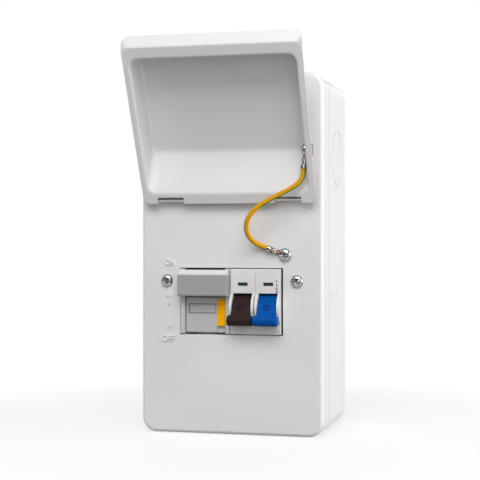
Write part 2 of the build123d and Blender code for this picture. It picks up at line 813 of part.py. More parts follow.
# Toggles: a drum on the shaft, a flat paddle and a rounded grip bar
off = radians(toggle_off_angle)
grip_y = -toggle_d - toggle_reach * cos(off)
grip_z = toggle_z + toggle_reach * sin(off)
for name, x in zip(("live_toggle", "neutral_toggle"), pole_x):
    with BuildPart() as toggle:
        with BuildSketch(side_plane(x - toggle_plate_width / 2)):
            with Locations((-toggle_d, toggle_z)):
                Circle(toggle_drum)
            with Locations((grip_y, grip_z)):
                Circle(toggle_plate_tip)
            make_hull()
        extrude(amount=toggle_plate_width)
        with BuildSketch(side_plane(x - toggle_grip_width / 2)):
            with Locations((grip_y, grip_z)):
                Circle(toggle_grip_radius)
        extrude(amount=toggle_grip_width)
        grip_ends = toggle.edges().filter_by(GeomType.CIRCLE).filter_by(
            lambda edge: abs(edge.center().X - x) > toggle_plate_width / 2 + toggle_clearance)
        fillet(grip_ends, case_edge * 2)
        with BuildSketch(side_plane(x - toggle_plate_width / 2)):
            with Locations((-toggle_d, toggle_z)):
                Circle(shaft_radius + pin_clearance)
        extrude(amount=toggle_plate_width, mode=Mode.SUBTRACT)
    save(toggle, name)

# Fuse holder base: moulded body with a cavity for the swinging fuse
holder_front_d = depth - holder_front_sink
cheek_d = depth + cheek_proud
cavity_width = holder_width - 2 * holder_wall
cavity_left = holder_x - cavity_width / 2
swing_radius = hypot(pivot_d - fuse_d + fuse_radius, pivot_z - fuse_bottom_z) + swing_clearance
jaw_half = fuse_radius + jaw_clearance + jaw_sheet
upper_jaw_z = fuse_top_z - fuse_cap_length / 2
lower_jaw_z = fuse_bottom_z + fuse_cap_length / 2
jaws = {"holder_jaw_upper": (upper_web_d, upper_jaw_z), "holder_jaw_lower": (lower_web_d, lower_jaw_z)}
holder_terminals = [(holder_x, holder_top, -1), (holder_x, holder_bottom, 1)]

with BuildPart() as holder_base:
    front_steps = [
        (shoulder_d, holder_top), (shoulder_d, holder_step_top), (holder_front_d, holder_step_top),
        (holder_front_d, nose_top), (cheek_d, nose_top), (cheek_d, nose_bottom),
        (holder_front_d, nose_bottom),
        (holder_front_d, holder_step_bottom), (shoulder_d, holder_step_bottom), (shoulder_d, holder_bottom)]
    with BuildSketch(side_plane(holder_left)):
        with BuildLine():
            Polyline(*device_profile(front_steps, holder_top, holder_bottom), close=True)
        make_face()
    extrude(amount=holder_width)
    with BuildSketch(side_plane(cavity_left)):
        with Locations((-pivot_d, pivot_z)):
            Circle(swing_radius)
        with Locations((-holder_front_d + holder_front_wall, cavity_sill)):
            Rectangle(swing_radius, swing_radius, align=(Align.MAX, Align.MAX), mode=Mode.SUBTRACT)
        with Locations((-cavity_back_d, pivot_z)):
            Rectangle(swing_radius, cavity_top - pivot_z, align=(Align.MAX, Align.MIN))
        with Locations((-sweep_back_d, cavity_sill)):
            Rectangle(swing_radius, pivot_z - cavity_sill, align=(Align.MAX, Align.MIN))
    extrude(amount=cavity_width, mode=Mode.SUBTRACT)
    fillet(holder_base.faces().sort_by(Axis.Y)[:2].edges(), case_edge)
    with BuildSketch(side_plane(holder_left)):
        with Locations((-pivot_d, pivot_z)):
            Circle(stub_radius + thread_clearance)
    extrude(amount=holder_width, mode=Mode.SUBTRACT)
    for web_back_d, jaw_z in jaws.values():
        with BuildSketch(wall_plane(web_back_d)) as pocket:
            with Locations((holder_x, jaw_z)):
                Rectangle(2 * jaw_half + 2 * lip_clearance, jaw_height + 2 * lip_clearance)
        extrude(pocket.sketch, amount=jaw_tip_d - web_back_d, mode=Mode.SUBTRACT)
    cut_clip_channel(holder_x, holder_bottom)
    cut_terminals(holder_terminals)
save(holder_base, "holder_base")
save(rail_clip(holder_x, holder_bottom), "holder_rail_clip")
save(terminal_screws(holder_terminals), "holder_terminal_screws")

for name, (web_back_d, jaw_z) in jaws.items():
    half = jaw_half - jaw_sheet / 2
    web_mid_d = web_back_d + jaw_sheet / 2
    with BuildPart() as jaw:
        with BuildSketch(Plane.XY.offset(jaw_z - jaw_height / 2)):
            with BuildLine():
                FilletPolyline(
                    (holder_x - half, -jaw_tip_d), (holder_x - half, -web_mid_d),
                    (holder_x + half, -web_mid_d), (holder_x + half, -jaw_tip_d), radius=2 * jaw_sheet)
            trace(line_width=jaw_sheet)
        extrude(amount=jaw_height)
    save(jaw, name)

# Fuse carrier: front panel, side cheeks, fuse saddles and a pull handle
panel_front_d = depth - panel_sink
panel_back_d = panel_front_d - panel_sheet
carrier_width = cavity_width - 2 * carrier_clearance
carrier_left = holder_x - carrier_width / 2
tube_radius = fuse_radius - fuse_cap_sheet

with BuildPart() as fuse_carrier:
    with BuildSketch(wall_plane(panel_back_d)):
        with Locations((holder_x, carrier_top)):
            Rectangle(carrier_width, carrier_top - carrier_bottom, align=(Align.CENTER, Align.MAX))
    extrude(amount=panel_sheet)
    fillet(fuse_carrier.faces().sort_by(Axis.Y)[0].edges().sort_by(Axis.Z)[0], panel_sheet * 0.8)
    for start_x in (carrier_left, carrier_left + carrier_width - carrier_wall):
        with BuildSketch(side_plane(start_x)):
            with BuildLine():
                Polyline(*[(-d, z) for d, z in carrier_cheek], close=True)
            make_face()
        extrude(amount=carrier_wall)
    for z in saddle_z:
        with BuildSketch(Plane.XY.offset(z - saddle_sheet / 2)) as saddle:
            with Locations((holder_x, -panel_back_d)):
                Rectangle(carrier_width, panel_back_d - saddle_back_d, align=(Align.CENTER, Align.MIN))
            with Locations((holder_x, -fuse_d)):
                Circle(tube_radius + saddle_clearance, mode=Mode.SUBTRACT)
        extrude(saddle.sketch, amount=saddle_sheet)
    handle_back_d = handle_profile[0][0]
    with BuildSketch(wall_plane(panel_front_d)):
        with Locations((holder_x, carrier_top)):
            Rectangle(carrier_width, carrier_top - neck_bottom, align=(Align.CENTER, Align.MAX))
    extrude(amount=handle_back_d - panel_front_d)
    with BuildSketch(side_plane(holder_x - handle_width / 2)) as grip:
        with BuildLine():
            Polyline(*[(-d, z) for d, z in handle_profile], close=True)
        make_face()
        fillet(grip.vertices().sort_by(Axis.X)[:3], handle_edge)
    extrude(amount=handle_width)
    with BuildSketch(wall_plane(panel_front_d)):
        with Locations((label_x, label_z)):
            Rectangle(label_width, label_height)
    extrude(amount=-label_sink, mode=Mode.SUBTRACT)
    with BuildSketch(wall_plane(panel_front_d)):
        with Locations((lock_x, lock_top + lock_clearance)):
            Rectangle(
                lock_width + 2 * lock_clearance, lock_height + lock_travel + 2 * lock_clearance,
                align=(Align.CENTER, Align.MAX))
    extrude(amount=-lock_sink, mode=Mode.SUBTRACT)
    with BuildSketch(side_plane(carrier_left)):
        with Locations((-pivot_d, pivot_z)):
            Circle(stub_radius + pin_clearance)
    extrude(amount=carrier_width, mode=Mode.SUBTRACT)
save(fuse_carrier, "fuse_carrier")

with BuildPart() as carrier_pins:
    pin_length = holder_wall + carrier_clearance + carrier_wall - shaft_end_gap
    right_pin_x = carrier_left + carrier_width - carrier_wall
    for start_x in (holder_left + shaft_end_gap, right_pin_x):
        with BuildSketch(side_plane(start_x)):
            with Locations((-pivot_d, pivot_z)):
                Circle(stub_radius)
        extrude(amount=pin_length)
save(carrier_pins, "carrier_pins")

with BuildPart() as lock_slider:
    lock_back_d = panel_front_d - lock_sink + lock_clearance
    lock_front_d = panel_front_d + lock_proud
    with BuildSketch(wall_plane(lock_back_d)):
        with Locations((lock_x, lock_top)):
            Rectangle(lock_width, lock_height, align=(Align.CENTER, Align.MAX))
    extrude(amount=lock_front_d - lock_back_d)
    with BuildSketch(wall_plane(lock_front_d)):
        with Locations((lock_x, lock_top - lock_height / 2)):
            with GridLocations(lock_width, lock_rib_pitch, 1, 5):
                Rectangle(lock_width * 0.6, lock_rib_pitch / 3)
    extrude(amount=-lock_proud / 2, mode=Mode.SUBTRACT)
save(lock_slider, "lock_slider")

# Cartridge fuse: tube and two plated end caps
with BuildPart() as fuse_body:
    with BuildSketch(Plane.XY.offset(fuse_bottom_z + fuse_cap_sheet)):
        with Locations((holder_x, -fuse_d)):
            Circle(tube_radius)
    extrude(amount=fuse_length - 2 * fuse_cap_sheet)
save(fuse_body, "fuse_body")
for name, end_z, way in (("fuse_cap_top", fuse_top_z, -1), ("fuse_cap_bottom", fuse_bottom_z, 1)):
    with BuildPart() as fuse_cap:
        with BuildSketch(Plane.XY.offset(end_z)):
            with Locations((holder_x, -fuse_d)):
                Circle(fuse_radius)
        extrude(amount=way * fuse_cap_length)
        with BuildSketch(Plane.XY.offset(end_z + way * fuse_cap_sheet)):
            with Locations((holder_x, -fuse_d)):
                Circle(tube_radius)
        extrude(amount=way * fuse_cap_length, mode=Mode.SUBTRACT)
    save(fuse_cap, name)

# Link bar from the switch's live terminal to the fuse holder
with BuildPart() as link_bar:
    link_low = holder_bottom - link_drop
    entry_reach = wire_entry_depth - lip_clearance
    with BuildSketch(wall_plane(link_front_d)):
        with BuildLine():
            FilletPolyline(
                (pole_x[0], switch_bottom + entry_reach), (pole_x[0], link_low),
                (holder_x, link_low), (holder_x, holder_bottom + entry_reach), radius=link_bend)
        trace(line_width=link_sheet)
    extrude(amount=-link_width)
save(link_bar, "link_bar")

# Earth block on the back wall
with BuildPart() as earth_block:
    with BuildSketch(wall_plane(sheet)):
        with Locations((earth_block_x, earth_block_z)):
            Rectangle(earth_block_length, earth_block_section)
    extrude(amount=earth_block_section)
    earth_mid_d = sheet + earth_block_section / 2
    earth_places = [earth_block_x + step * earth_block_pitch for step in (-1, 0, 1)]
    with BuildSketch(Plane.XY.offset(earth_block_z - earth_block_section / 2)):
        with Locations(*[(x, -earth_mid_d) for x in earth_places]):
            Circle(earth_entry_radius)
    extrude(amount=earth_block_section, mode=Mode.SUBTRACT)
    with BuildSketch(wall_plane(earth_mid_d)):
        with Locations(*[(x, earth_block_z) for x in earth_places]):
            Circle(m4_radius + thread_clearance)
    extrude(amount=earth_block_section, mode=Mode.SUBTRACT)
save(earth_block, "earth_block")
save(pan_screws(wall_plane(sheet + earth_block_section), [(x, earth_block_z) for x in earth_places],
                earth_block_section / 2), "earth_block_screws")
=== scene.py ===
"""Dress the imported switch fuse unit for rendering.

Frame: metres, X to the right, Y into the wall, Z up, origin at the centre of the back face.
Sizes in the dataclasses are in millimetres, as in the part's source, and MM turns them into metres.
"""
from __future__ import annotations

import logging
import math
from dataclasses import dataclass
from enum import Enum
from typing import Any, Callable, Dict, List, Optional, Sequence, Tuple, Union

import bmesh
import bpy
import numpy as np
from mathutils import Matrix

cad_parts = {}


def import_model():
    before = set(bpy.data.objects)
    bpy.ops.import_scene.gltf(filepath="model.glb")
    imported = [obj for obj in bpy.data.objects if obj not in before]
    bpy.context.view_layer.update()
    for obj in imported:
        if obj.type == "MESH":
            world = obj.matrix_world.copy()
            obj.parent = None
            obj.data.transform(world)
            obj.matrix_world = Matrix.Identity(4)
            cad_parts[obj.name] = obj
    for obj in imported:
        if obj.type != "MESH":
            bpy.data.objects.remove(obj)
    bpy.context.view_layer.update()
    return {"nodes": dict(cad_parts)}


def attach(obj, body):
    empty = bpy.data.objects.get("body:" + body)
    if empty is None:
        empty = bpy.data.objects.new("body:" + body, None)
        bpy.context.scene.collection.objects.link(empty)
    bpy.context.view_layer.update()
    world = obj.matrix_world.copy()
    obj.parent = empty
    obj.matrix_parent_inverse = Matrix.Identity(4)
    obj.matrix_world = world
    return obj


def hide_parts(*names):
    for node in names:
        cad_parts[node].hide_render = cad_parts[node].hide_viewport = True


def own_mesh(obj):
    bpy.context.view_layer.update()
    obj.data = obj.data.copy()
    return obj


LOG = logging.getLogger("switch_fuse_unit")
Colour = Tuple[float, float, float]
Point = Tuple[float, float, float]
Pair = Tuple[float, float]
Key = Union[int, str]

MM = 0.001
FULL_TURN = 2 * math.pi
QUARTER_TURN = math.pi / 2
RIGHTWARD: Point = (1.0, 0.0, 0.0)
FORWARD: Point = (0.0, -1.0, 0.0)
HINGE_AXIS: Point = (0.0, -92.0, 38.0)
LID_OPEN_DEG = 154.0
COVER_FACE = -88.0
WRAP_MAP = "wrap"
WELD = 1e-6
STAMP_STEPS = 6
HOOP_STEPS = (64, 14)
RECESS_STEP_DEG = 31.0
BEVEL_SAMPLES = 4


class Ray(Enum):
    """Kinds of ray that see the plain white surroundings."""

    CAMERA = "Is Camera Ray"
    GLOSSY = "Is Glossy Ray"
    TRANSMISSION = "Is Transmission Ray"


class Body(Enum):
    """Rigid bodies that new pieces ride on."""

    ENCLOSURE = "enclosure"
    LID = "lid"
    LIVE_TOGGLE = "live_toggle"
    NEUTRAL_TOGGLE = "neutral_toggle"


def linked(name: str, data: bpy.types.ID) -> bpy.types.Object:
    """Make an object and put it in the scene.

    Args:
        name: name of the object.
        data: its mesh, curve, lamp or camera.

    Returns:
        The object.
    """
    made = bpy.data.objects.new(name, data)
    bpy.context.scene.collection.objects.link(made)
    return made


def shaped_mesh(item: bpy.types.Object) -> bpy.types.Mesh:
    """A new mesh of an object as its curve or its modifiers shape it."""
    bpy.context.view_layer.update()
    return bpy.data.meshes.new_from_object(item.evaluated_get(bpy.context.evaluated_depsgraph_get()))


def mesh_points(mesh: bpy.types.Mesh) -> np.ndarray:
    """Points of a mesh.

    Args:
        mesh: the mesh to read.

    Returns:
        (n, 3) array.
    """
    points = np.empty(len(mesh.vertices) * 3)
    mesh.vertices.foreach_get("co", points)
    return points.reshape(-1, 3)


def toned(colour: Colour, share: float) -> Colour:
    """A colour with each of its parts cut to a share."""
    red, green, blue = colour
    return share * red, share * green, share * blue


def math_node(operation: str, turned: bool = False) -> Callable[["Signal", Any], "Signal"]:
    """Make an operator that adds one Math node.

    Args:
        operation: Blender's name of the operation.
        turned: put the other value first, for a reflected form.

    Returns:
        The operator, a method of Signal.
    """
    def operate(self: "Signal", other: Any) -> "Signal":
        """Add the node and give its result."""
        first, second = (other, self) if turned else (self, other)
        return self.graph.node("ShaderNodeMath", {"operation": operation}, {0: first, 1: second})[0]

    return operate


class Signal:
    """A number carried by a node socket; arithmetic on it adds Math nodes.

    | is the larger of two, % a remainder that never goes below zero, and < and > give 1 where they hold.
    """

    __add__ = __radd__ = math_node("ADD")
    __mul__ = __rmul__ = math_node("MULTIPLY")
    __or__ = __ror__ = math_node("MAXIMUM")
    __sub__ = math_node("SUBTRACT")
    __rsub__ = math_node("SUBTRACT", turned=True)
    __mod__ = math_node("FLOORED_MODULO")
    __rmod__ = math_node("FLOORED_MODULO", turned=True)
    __lt__ = math_node("LESS_THAN")
    __gt__ = math_node("GREATER_THAN")

    def __init__(self, graph: "Graph", socket: bpy.types.NodeSocket) -> None:
        """Keep the graph and the socket."""
        self.graph = graph
        self.socket = socket

    def __abs__(self) -> "Signal":
        """Size without sign."""
        return self.graph.node("ShaderNodeMath", {"operation": "ABSOLUTE"}, {0: self})[0]

    def ease(self, low: float, high: float) -> "Signal":
        """Smooth step from 0 at low to 1 at high."""
        return self.graph.node(
            "ShaderNodeMapRange", {"interpolation_type": "SMOOTHSTEP"},
            {"Value": self, "From Min": low, "From Max": high})["Result"]

    def near(self, middle: float, edge: Pair) -> "Signal":
        """One within edge's first distance of a middle, easing to 0 at its second."""
        return 1.0 - abs(self - middle).ease(*edge)


class NodeRef:
    """A node whose outputs are read as signals."""

    def __init__(self, graph: "Graph", node: bpy.types.Node) -> None:
        """Keep the graph and the node."""
        self.graph = graph
        self.node = node

    def __getitem__(self, key: Key) -> Signal:
        """The output with that name or number."""
        return Signal(self.graph, self.node.outputs[key])


class Graph:
    """Node tree of one material or world."""

    def __init__(self, tree: bpy.types.NodeTree) -> None:
        """Clear a tree and keep it."""
        self.tree = tree
        self.tree.nodes.clear()

    def node(
        self, kind: str, settings: Optional[Dict[str, Any]] = None, inputs: Optional[Dict[Key, Any]] = None,
    ) -> NodeRef:
        """Add any node.

        Args:
            kind: Blender's type name of the node.
            settings: its properties, which are set first.
            inputs: values, or signals to link, by socket name or number.

        Returns:
            The node, to read outputs from.
        """
        node = self.tree.nodes.new(kind)
        for key, value in (settings or {}).items():
            setattr(node, key, value)
        for key, value in (inputs or {}).items():
            socket = node.inputs[key]
            if isinstance(value, Signal):
                self.tree.links.new(value.socket, socket)
            elif isinstance(value, (tuple, list)) and socket.type == "RGBA":
                socket.default_value = (*value, 1.0)
            else:
                socket.default_value = value
        return NodeRef(self, node)

    def place(self) -> Signal:
        """Object coordinates, in metres."""
        return self.node("ShaderNodeTexCoord")["Object"]

    def axes(self, vector: Signal) -> Tuple[Signal, Signal, Signal]:
        """The three parts of a vector."""
        parts = self.node("ShaderNodeSeparateXYZ", None, {"Vector": vector})
        return parts["X"], parts["Y"], parts["Z"]

    def stretched(self, vector: Signal, scale: Point) -> Signal:
        """Coordinates scaled along each axis."""
        return self.node(
            "ShaderNodeVectorMath", {"operation": "MULTIPLY"}, {0: vector, 1: scale})["Vector"]

    def millimetres(self, place: Signal) -> Tuple[Signal, Signal, Signal]:
        """Object coordinates as x, y and z in millimetres."""
        return self.axes(self.stretched(place, (1.0 / MM, 1.0 / MM, 1.0 / MM)))

    def wrapped(self) -> Tuple[Signal, Signal]:
        """The piece's own map: share of a turn round it and millimetres along it."""
        round_it, along, _ = self.axes(self.node("ShaderNodeUVMap", {"uv_map": WRAP_MAP})["UV"])
        return round_it, along

    def seen(self) -> Signal:
        """One for the rays that see the plain white surroundings."""
        rays = self.node("ShaderNodeLightPath")
        return rays[Ray.CAMERA.value] | rays[Ray.GLOSSY.value] | rays[Ray.TRANSMISSION.value]

    def noise(self, vector: Signal, size_mm: float, detail: float = 2.0) -> Signal:
        """Noise whose features are about a given size.

        Args:
            vector: coordinates in metres.
            size_mm: size of the features.
            detail: octaves.

        Returns:
            Noise from 0 to 1 about 0.5.
        """
        return self.node(
            "ShaderNodeTexNoise", None,
            {"Vector": vector, "Scale": 1.0 / (size_mm * MM), "Detail": detail})["Fac"]

    def blend(self, factor: Signal, first: Any, second: Any) -> Signal:
        """Mix of two colours or colour signals: 0 gives the first, 1 the second."""
        return self.node("ShaderNodeMix", {"data_type": "RGBA"}, {0: factor, 6: first, 7: second})[2]

    def bump(self, height: Signal, depth_mm: float, edge_mm: float = 0.0) -> Signal:
        """Normal that follows a height.

        Args:
            height: height from 0 to 1.
            depth_mm: what a height of 1 stands for.
            edge_mm: radius that softens hard edges, none if 0.

        Returns:
            The normal.
        """
        inputs: Dict[Key, Any] = {"Strength": 1.0, "Distance": depth_mm * MM, "Height": height}
        if edge_mm > 0:
            soft = self.node("ShaderNodeBevel", {"samples": BEVEL_SAMPLES}, {"Radius": edge_mm * MM})
            inputs["Normal"] = soft["Normal"]
        return self.node("ShaderNodeBump", None, inputs)["Normal"]

    def surface(self, inputs: Dict[Key, Any]) -> None:
        """Finish the tree with a Principled surface."""
        shader = self.node("ShaderNodeBsdfPrincipled", None, inputs)["BSDF"]
        self.node("ShaderNodeOutputMaterial", None, {"Surface": shader})


def blank_material(name: str) -> Tuple[bpy.types.Material, Graph]:
    """Make a material with an empty node tree.

    Args:
        name: name of the material.

    Returns:
        The material and its tree.
    """
    made = bpy.data.materials.new(name)
    made.use_nodes = True
    return made, Graph(made.node_tree)


MIXED: Dict["Finish", bpy.types.Material] = {}


@dataclass(frozen=True)
class Finish:
    """A named finish that can make its material once."""

    name: str

    def shade(self, graph: Graph) -> None:
        """Add the finish's nodes; each kind of finish has its own."""
        raise NotImplementedError

    def material(self) -> bpy.types.Material:
        """The finish's material, made on first use.

        Returns:
            The same material each time.
        """
        if self not in MIXED:
            MIXED[self], graph = blank_material(self.name)
            self.shade(graph)
        return MIXED[self]


@dataclass(frozen=True)
class PowderCoat(Finish):
    """Baked powder on sheet steel: fine orange peel, slow drift of tone, soft dust specks."""

    colour: Colour = (0.722, 0.714, 0.714)
    roughness: float = 0.4
    peel_roughness: float = 0.16
    shine: float = 0.45
    drift_mm: float = 60.0
    drift_tone: float = 0.965
    drift_edge: Pair = (0.3, 0.7)
    speck_mm: float = 0.35
    speck_tone: float = 0.80
    speck_edge: Pair = (0.72, 0.80)
    speck_share: float = 0.12
    peel_mm: float = 0.9
    peel_height: float = 0.6
    wave_mm: float = 9.0
    wave_height: float = 1.6
    relief_mm: float = 0.012
    edge_mm: float = 0.35
    seam_mm: Optional[float] = None
    seam_edge_mm: Pair = (0.22, 0.48)
    seam_colour: Colour = (0.05, 0.05, 0.05)
    seam_share: float = 0.9
    seam_height: float = 14.0

    def shade(self, graph: Graph) -> None:
        """Peel and waviness go to the bump, drift, specks and the dark joint line to the colour.

        Args:
            graph: tree to fill.
        """
        place = graph.place()
        drift = graph.noise(place, self.drift_mm, 1.0).ease(*self.drift_edge)
        peel = graph.noise(place, self.peel_mm)
        wave = graph.noise(place, self.wave_mm, 1.0)
        speck = graph.noise(place, self.speck_mm, 0.0).ease(*self.speck_edge)
        tone = graph.blend(drift, toned(self.colour, self.drift_tone), self.colour)
        paint = graph.blend(speck * self.speck_share, tone, toned(self.colour, self.speck_tone))
        relief = peel * self.peel_height + wave * self.wave_height
        if self.seam_mm is not None:
            _, depth, _ = graph.millimetres(place)
            joint = depth.near(self.seam_mm, self.seam_edge_mm)
            paint = graph.blend(joint * self.seam_share, paint, self.seam_colour)
            relief = relief - joint * self.seam_height
        graph.surface({
            "Base Color": paint,
            "Roughness": self.roughness + (peel - 0.5) * self.peel_roughness,
            "Normal": graph.bump(relief, self.relief_mm, self.edge_mm),
            "Specular IOR Level": self.shine,
        })


@dataclass(frozen=True)
class PlatedMetal(Finish):
    """Plated or bare metal with a faint grain along one axis."""

    colour: Colour = (0.80, 0.80, 0.79)
    roughness: float = 0.16
    grain: Point = (1.0, 1.0, 1.0)
    grain_mm: float = 0.5
    grain_depth_mm: float = 0.004
    grain_roughness: float = 0.14
    stain_mm: float = 4.0
    stain_edge: Pair = (0.45, 0.75)
    stain_tone: float = 0.80
    stain_share: float = 0.5
    stain_roughness: float = 0.06
    edge_mm: float = 0.12

    def shade(self, graph: Graph) -> None:
        """Grain feeds roughness and bump, stains feed colour.

        Args:
            graph: tree to fill.
        """
        place = graph.place()
        grain = graph.noise(graph.stretched(place, self.grain), self.grain_mm, 3.0)
        stain = graph.noise(place, self.stain_mm, 3.0).ease(*self.stain_edge)
        rough = (grain - 0.5) * self.grain_roughness + stain * self.stain_roughness
        graph.surface({
            "Base Color": graph.blend(
                stain * self.stain_share, self.colour, toned(self.colour, self.stain_tone)),
            "Metallic": 1.0,
            "Roughness": self.roughness + rough,
            "Normal": graph.bump(grain, self.grain_depth_mm, self.edge_mm),
        })


@dataclass(frozen=True)
class MouldedPlastic(Finish):
    """Spark eroded moulding: fine even grain, soft flow marks, worn edges a little smoother."""

    colour: Colour = (0.7, 0.7, 0.7)
    roughness: float = 0.45
    grain_mm: float = 0.28
    grain_depth_mm: float = 0.010
    grain_roughness: float = 0.2
    edge_mm: float = 0.3
    drift: float = 0.06
    shine: float = 0.45
    flow: Point = (1.0, 1.0, 0.35)
    flow_mm: float = 7.0
    flow_edge: Pair = (0.35, 0.65)

    def shade(self, graph: Graph) -> None:
        """Grain feeds bump and roughness, flow marks feed colour.

        Args:
            graph: tree to fill.
        """
        place = graph.place()
        grain = graph.noise(place, self.grain_mm)
        flow = graph.noise(graph.stretched(place, self.flow), self.flow_mm).ease(*self.flow_edge)
        graph.surface({
            "Base Color": graph.blend(flow, toned(self.colour, 1.0 - self.drift), self.colour),
            "Roughness": self.roughness + (grain - 0.5) * self.grain_roughness,
            "Normal": graph.bump(grain, self.grain_depth_mm, self.edge_mm),
            "Specular IOR Level": self.shine,
        })


@dataclass(frozen=True)
class CarrierPlastic(MouldedPlastic):
    """Carrier moulding whose pull handle, in front of a depth, is a darker and glossier grey.

    Painted shade: dark lines run round the label recess and down both sides of the panel for the shade in
    those gaps, and under the handle for its shadow.
    """

    handle: Colour = (0.33, 0.33, 0.335)
    handle_gloss: float = 0.08
    split_mm: Pair = (-88.8, -88.0)
    # Painted highlight: a paler grey for the handle's top, standing in for the light on its upper bevel.
    top_highlight: Colour = (0.62, 0.63, 0.64)
    top_highlight_mm: Pair = (-14.5, -12.8)
    # Colour of the painted shade lines in the panel's gaps and under the handle.
    line: Colour = (0.03, 0.03, 0.032)
    label_mm: Pair = (-20.7, -37.1)
    label_half_mm: Pair = (9.5, 3.1)
    label_edge_mm: Pair = (0.16, 0.42)
    label_share: float = 0.75
    panel_mm: float = -18.3
    panel_edge_mm: Pair = (13.75, 14.05)
    panel_share: float = 0.85
    under_mm: float = -29.1
    under_edge_mm: Pair = (0.35, 0.75)
    under_share: float = 0.8

    def joints(self, across: Signal, up: Signal) -> Signal:
        """Mask of the painted shade lines on the panel.

        Each line is 1 less an eased distance: from the label's rectangle, which is the larger of the two
        distances past its half sizes, from the panel's sides and from a level just under the handle.

        Args:
            across: x in millimetres.
            up: z in millimetres.

        Returns:
            1 on a line, 0 off it.
        """
        beside = abs(across - self.label_mm[0]) - self.label_half_mm[0]
        above = abs(up - self.label_mm[1]) - self.label_half_mm[1]
        label = (beside | above).near(0.0, self.label_edge_mm)
        side = abs(across - self.panel_mm).ease(*self.panel_edge_mm)
        # Painted shadow just under the handle.
        under = up.near(self.under_mm, self.under_edge_mm)
        return label * self.label_share | side * self.panel_share | under * self.under_share

    def shade(self, graph: Graph) -> None:
        """Depth picks the grey, with a painted highlight on the handle's top; grain and flow marks are as in
        other mouldings.

        Args:
            graph: tree to fill.
        """
        place = graph.place()
        across, depth, up = graph.millimetres(place)
        grain = graph.noise(place, self.grain_mm)
        flow = graph.noise(place, self.flow_mm).ease(*self.flow_edge)
        pull = 1.0 - depth.ease(*self.split_mm)
        # Painted highlight: the handle's top eases to the paler grey.
        lit_handle = graph.blend(up.ease(*self.top_highlight_mm), self.handle, self.top_highlight)
        tone = graph.blend(pull, self.colour, lit_handle)
        dark = graph.blend(pull, toned(self.colour, 1.0 - self.drift), lit_handle)
        # Painted shade: the gap shade and the handle's shadow darken only the panel, not the handle.
        lines = self.joints(across, up) * (1.0 - pull)
        graph.surface({
            "Base Color": graph.blend(lines, graph.blend(flow, dark, tone), self.line),
            "Roughness": self.roughness - pull * self.handle_gloss + (grain - 0.5) * self.grain_roughness,
            "Normal": graph.bump(grain, self.grain_depth_mm, self.edge_mm),
            "Specular IOR Level": self.shine,
        })


@dataclass(frozen=True)
class StripedSleeve(Finish):
    """Wire sleeve: golden yellow with a green stripe along it and a faint row of print dots.

    The stripe's middle and half width, and the print's, are shares of a turn round the wire.
    """

    yellow: Colour = (0.66, 0.313, 0.0005)
    green: Colour = (0.015, 0.20, 0.075)
    ink: Colour = (0.20, 0.12, 0.01)
    stripe_ends: Pair = (0.78, 0.20)
    stripe_turn_mm: Pair = (40.0, 56.0)
    stripe_edge: Pair = (0.088, 0.112)
    wobble: float = 0.03
    wobble_mm: float = 5.0
    print_line: float = 0.10
    print_half: float = 0.022
    print_share: float = 0.55
    dash_mm: Pair = (0.9, 1.7)
    word_mm: Pair = (13.0, 23.0)
    flow_mm: float = 3.0
    flow_tone: float = 0.93
    roughness: float = 0.32
    grain_mm: float = 0.35
    grain_depth_mm: float = 0.012
    grain_roughness: float = 0.15
    shine: float = 0.07

    def shade(self, graph: Graph) -> None:
        """Distance round from the wandering stripe picks green; dashes in groups on one line are ink.

        Args:
            graph: tree to fill.
        """
        place = graph.place()
        round_it, along = graph.wrapped()
        first, last = self.stripe_ends
        middle = first + along.ease(*self.stripe_turn_mm) * (last - first)
        wobble = (graph.noise(place, self.wobble_mm, 1.0) - 0.5) * self.wobble
        stripe = ((round_it - middle + 0.5) % 1.0 + wobble).near(0.5, self.stripe_edge)
        on_line = abs(round_it - self.print_line) < self.print_half
        (dash, dash_step), (word, word_step) = self.dash_mm, self.word_mm
        dashes = ((along % dash_step) < dash) * ((along % word_step) < word)
        flow = graph.noise(place, self.flow_mm)
        shade = graph.blend(flow, toned(self.yellow, self.flow_tone), self.yellow)
        printed = graph.blend(on_line * dashes * self.print_share, shade, self.ink)
        grain = graph.noise(place, self.grain_mm)
        graph.surface({
            "Base Color": graph.blend(stripe, printed, self.green),
            "Roughness": self.roughness + (grain - 0.5) * self.grain_roughness,
            "Normal": graph.bump(grain, self.grain_depth_mm),
            "Specular IOR Level": self.shine,
        })


@dataclass(frozen=True)
class TwistedCopper(Finish):
    """Bare copper strands, laid round the wire's own map."""

    colour: Colour = (0.62, 0.26, 0.13)
    valley_tone: float = 0.25
    strands: float = 9.0
    turns_per_mm: float = 0.4
    roughness: float = 0.28
    valley_roughness: float = 0.2
    ridge_mm: float = 0.15

    def shade(self, graph: Graph) -> None:
        """Slanted ridges feed the bump and a darker tone in their valleys.

        Args:
            graph: tree to fill.
        """
        round_it, along = graph.wrapped()
        valley = abs((round_it * self.strands + along * self.turns_per_mm) % 1.0 - 0.5) * 2.0
        graph.surface({
            "Base Color": graph.blend(valley, self.colour, toned(self.colour, self.valley_tone)),
            "Metallic": 1.0,
            "Roughness": self.roughness + valley * self.valley_roughness,
            "Normal": graph.bump(1.0 - valley, self.ridge_mm),
        })


@dataclass(frozen=True)
class FlagPrint(Finish):
    """Flag plate printed in two colours, split at a height."""

    upper: Colour = (0.004, 0.052, 0.040)
    lower: Colour = (0.50, 0.012, 0.010)
    split_mm: Pair = (-21.65, -21.55)
    roughness: float = 0.30
    mottle_mm: float = 0.4
    mottle_depth_mm: float = 0.01
    mottle_roughness: float = 0.2

    def shade(self, graph: Graph) -> None:
        """Height picks the colour, with a little ink mottle.

        Args:
            graph: tree to fill.
        """
        place = graph.place()
        _, _, up = graph.millimetres(place)
        mottle = graph.noise(place, self.mottle_mm)
        graph.surface({
            "Base Color": graph.blend(up.ease(*self.split_mm), self.lower, self.upper),
            "Roughness": self.roughness + mottle * self.mottle_roughness,
            "Normal": graph.bump(mottle, self.mottle_depth_mm),
        })


